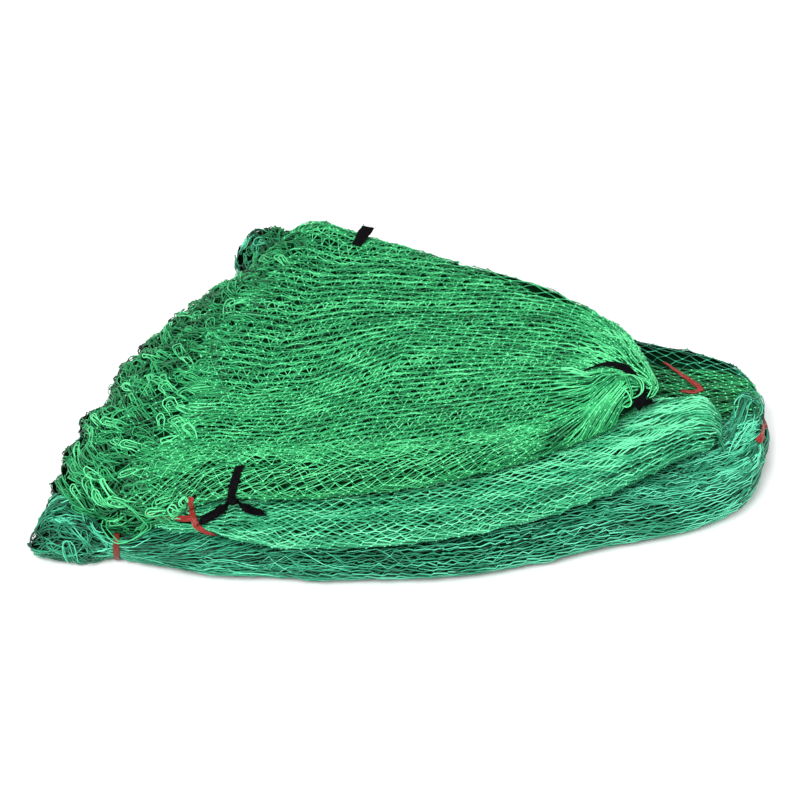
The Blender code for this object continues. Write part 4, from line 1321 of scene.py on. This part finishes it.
# Loose strands: round the fan's neck and its tape, over the flare, and beside the middle tier's ribbon. Each
# has its count, spread, twine, shade and seed, then its route.
for settings, route in (
    ((2, 1.8, 1.6, 0.9, 600), [(226, -40, 101, -1), (236, -36, 100, 2.4), (243, -42, 100, 3.0),
                               (247, -54, 103, 3.0), (244, -64, 100, 3.0), (237, -71, 100, 1.0)]),
    ((2, 1.6, 1.5, 0.7, 601), [(222, -42, 102, -1), (230, -42, 102, 2.2), (233, -57, 106, 2.6),
                               (235, -68, 103, 2.8), (231, -75, 101, 0)]),
    ((1, 1.0, 1.6, 0.9, 602), [(224, -58, 105, 0), (231, -67, 104, 2.6), (235, -76, 99, 2.8),
                               (230, -81, 98, 1.6), (221, -80, 99, -1)]),
    ((3, 2.4, 1.5, 0.8, 603), [(236, 12, 93, 0), (250, 6, 91, 1.6), (262, -8, 92, 2.2), (268, -28, 92, 2.4),
                               (263, -46, 93, 2.2), (255, -60, 92, 0)]),
    ((2, 2.0, 1.4, 0.6, 610), [(-305, -168, 45, 3), (-285, -172, 58, 5), (-264, -185, 57, 6),
                               (-250, -191, 43, 5), (-262, -204, 32, 5), (-284, -206, 28, 5),
                               (-299, -190, 30, 4), (-297, -177, 34, 2)]),
    ((7, 5.0, 1.4, 0.4, 611), [(-252, -176, 64, 0), (-243, -187, 60, 2.5), (-234, -197, 54, 3),
                               (-226, -205, 46, 0)]),
    ((4, 3.0, 1.4, 0.4, 612), [(-262, -196, 40, 0), (-244, -192, 56, 2.5), (-228, -190, 60, 3),
                               (-210, -188, 72, 0)]),
):
    loose(route, *settings)
put("loose_strands")

# ---------------------------------------------------------------- the middle tier
# Each layer is depth and tone. Deeper layers are painted darker: painted shade.
for number, (depth, tone) in enumerate(((0.8, (0.15, 0.2)), (-0.5, (0.0, -0.3)), (-2.0, (-0.35, -0.6)))):
    lay(middle, 50, -0.9, 1.3, 200 + number, bar=7.0, depth=depth, tone=((7, 10), tone), knot_shade=0.2,
        zig=((0, 3, 6, 9), (1, 1, 0.75, 0.6)), twine=((7, 10), (1.4, 1.9)), knots=number < 1)
    put(f"middle_strands_{number + 1}", minty)
# Strands that come down over the tier's right end, from its front corner to its back one.
END_STRANDS = 24
END_FRONT = np.array([(276, -112, 78, -1.5), (296, -104, 76, 0.6), (316, -96, 71, 1.0), (329, -86, 62, 1.0),
                      (335, -86, 53, 0.8), (334, -88, 44, 0)])
END_TO_BACK = np.array([(12, 82, 0, 0), (11, 76, 0, 0), (5, 66, 0, 0), (2, 48, 0, 0), (1, 44, 0, 0),
                        (0, 44, 0, 0)])
for number in range(END_STRANDS):
    rng = np.random.default_rng(700 + number)
    share = (number + rng.uniform(0.2, 0.8)) / END_STRANDS
    route = END_FRONT + END_TO_BACK * share
    route[:, :2] += rng.normal(0, 1.2, (6, 2))
    loose(route, 1, 0.6, rng.uniform(1.4, 1.8), rng.uniform(0.0, 0.8), 730 + number)
put("middle_end", minty)


# ---------------------------------------------------------------- the bottom tier
def front_of_bottom(place, turn, at):
    front = (turn < 0.5) & ((place > 5) | (turn > -0.4))
    return (front | (place > 17.2)) & (place > 3.2 + 0.4 * waves(24, at, 20, 20))


def gaps_of_bottom(place, turn, at):
    """Patches of the front in which one more layer of thin meshes shows."""
    return front_of_bottom(place, turn, at) & (place < 15) & (waves(27, at, 25, 60) > 0.1)


def stretch(first, last):
    """The part of the tier between two places."""
    return lambda place, turn, _: (place > first) & (place < last)


def bottom_behind(place, turn, at):
    """The part behind the fan's neck and the middle hank, where the folds lie close and their shade is
    painted dark.
    """
    return (turn > 0.5) & (turn < 0.83 + 0.02 * waves(26, at, 30, 30)) & (place > 11)


def rest_of_bottom(place, turn, at):
    return (place > 3.2) & ((turn > 0.8) | ((turn > 0.46) & (place < 11.2)))


def bottom_mess(place, column):
    return 0.7 + 1.3 * eased(column, -0.02, 0.1) + 0 * place


# Each layer is columns, depth, tone, zig, crowd and end_tone. Deeper layers are painted darker, and so is the
# tier's left part: painted shade. end_tone changes the tone at its right end.
layers = ((86, 0.0, 0.1, 0.4, 2.3, 0.2), (100, -1.4, -0.35, 0.5, 1.8, -0.1), (76, -2.8, -0.7, 0.6, 1.8, 0))
for number, (columns, depth, tone, zig, crowd, end_tone) in enumerate(layers):
    lay(bottom, columns, -0.5, 0.7, 300 + number, front_of_bottom, bar=8.0, depth=depth, zig=zig, twine=1.3,
        relief=0.4, crowd=crowd, mess=bottom_mess,
        tone=lambda place: tone + np.interp(place, [8, 11, 14, 15.5], [-0.3, 0, 0, end_tone]))
    if number < 1:
        lay(bottom, 56, -0.5, 0.6, 305, gaps_of_bottom, bar=8.5, depth=0.3, twine=1.0, relief=0.7, tone=0.3)
        curls(bottom, stretch(5.2, 9.5), (-0.1, 0.4), 413, 15, 1.5, (50, 96), (0.05, 0.5), spread=0.08,
              bundle=2, twine=1.2, shades=(-0.1, 0.8))
    put(f"bottom_strands_{number + 1}", bluish)
# The tier's back and its right end are painted dark: painted shade.
lay(bottom, 50, 0.8, 1.6, 310, rest_of_bottom, bar=9.5, depth=0.2, tone=-0.35, twine=1.1, relief=0.5,
    knots=True)
lay(bottom, 50, -0.3, 1.7, 311, stretch(17.0, 20.0), depth=0.0, tone=-0.4, twine=1.5, crowd=1.4)
lay(bottom, 60, 0.95, 1.6, 312, rest_of_bottom, depth=-0.3, tone=-0.5, twine=1.3, relief=0.5, mess=0.6)
put("bottom_back", bluish)
# Dark strands with lighter knots: painted shade and painted highlights.
for number, (depth, tone) in enumerate(((0.6, -0.5), (-1.2, -0.7))):
    lay(bottom, 92, 0.3, 0.9, 330 + number, bottom_behind, bar=9, depth=depth, tone=tone, zig=0.8,
        knot_shade=0.9, crowd=1.8, knots=number < 1)
put("bottom_behind")
# The flare's base netting is painted dark, for the shade under its loops: painted shade.
lay(bottom, 40, -0.5, 1.5, 320, stretch(-0.4, 4.2), middle=3, depth=-1.8, tone=-0.6, twine=1.5, mess=1.8)
curls(bottom, band(14, 84), (0, 2), 410, 10.5, 4, (30, 64), (0.3, 2.5), gap=3.2, twine=1.5,
      shades=(-0.3, 0.8))
hairpins(bottom, band(12, 66), (-0.05, 1.2), 411, 16, length=(20, 42), width=(3.5, 8), way=0.3, spread=0.6,
         twine=1.4, shades=(-0.1, 0.6))
put("flare_loops", bluish)
curls(bottom, stretch(15.8, 17.8), (0.08, 0.42), 412, 14, 3.0, (34, 66), (0.2, 1.1), way=0.6, spread=0.25,
      gap=2.8, depth=0.5)
# Strands that trail over the tier's right end, each on a part of one hook-shaped route.
for number in range(22):
    rng = np.random.default_rng(620 + number)
    shift = rng.uniform(-24, 22)
    route = np.array([(296, -104 + shift, 37, 0.3), (318, -84 + 0.9 * shift, 38, 0.8),
                      (340, -60 + 0.6 * shift, 40, 1.5), (356, -34 + 0.4 * shift, 40, 2.5),
                      (364, -12 + 0.2 * shift, 39, 4), (373, -4, 38, 5), (379, -18, 38, 4),
                      (377, -34, 40, 2), (371, -44, 42, 0)], float)
    route[2:, :2] += rng.normal(0, 4.0, 2) + rng.normal(0, 2.0, (7, 2))
    loose(route[:rng.integers(5, 10)], 1, 2.5, 1.4, rng.uniform(-0.2, 0.9), 640 + number)
# Strands round the same end, one above the other.
for number in range(16):
    rng = np.random.default_rng(660 + number)
    level = 5 + 2.0 * number
    route = np.array([(344, -136, level, 0.2), (368, -106, level, 0.6), (384, -70, level, 1.0),
                      (392, -44, level, 1.2), (390, -14, level, 1.0), (384, 16, level, 0.7),
                      (366, 50, level, 0.2)], float)
    route[:, 2] += rng.uniform(-9, 9) * np.linspace(-1, 1, 7) + rng.normal(0, 1.5, 7)
    loose(route, 1, 1.5, 1.4, rng.uniform(-0.5, 0.4), 680 + number)
put("right_end_loops", bluish)
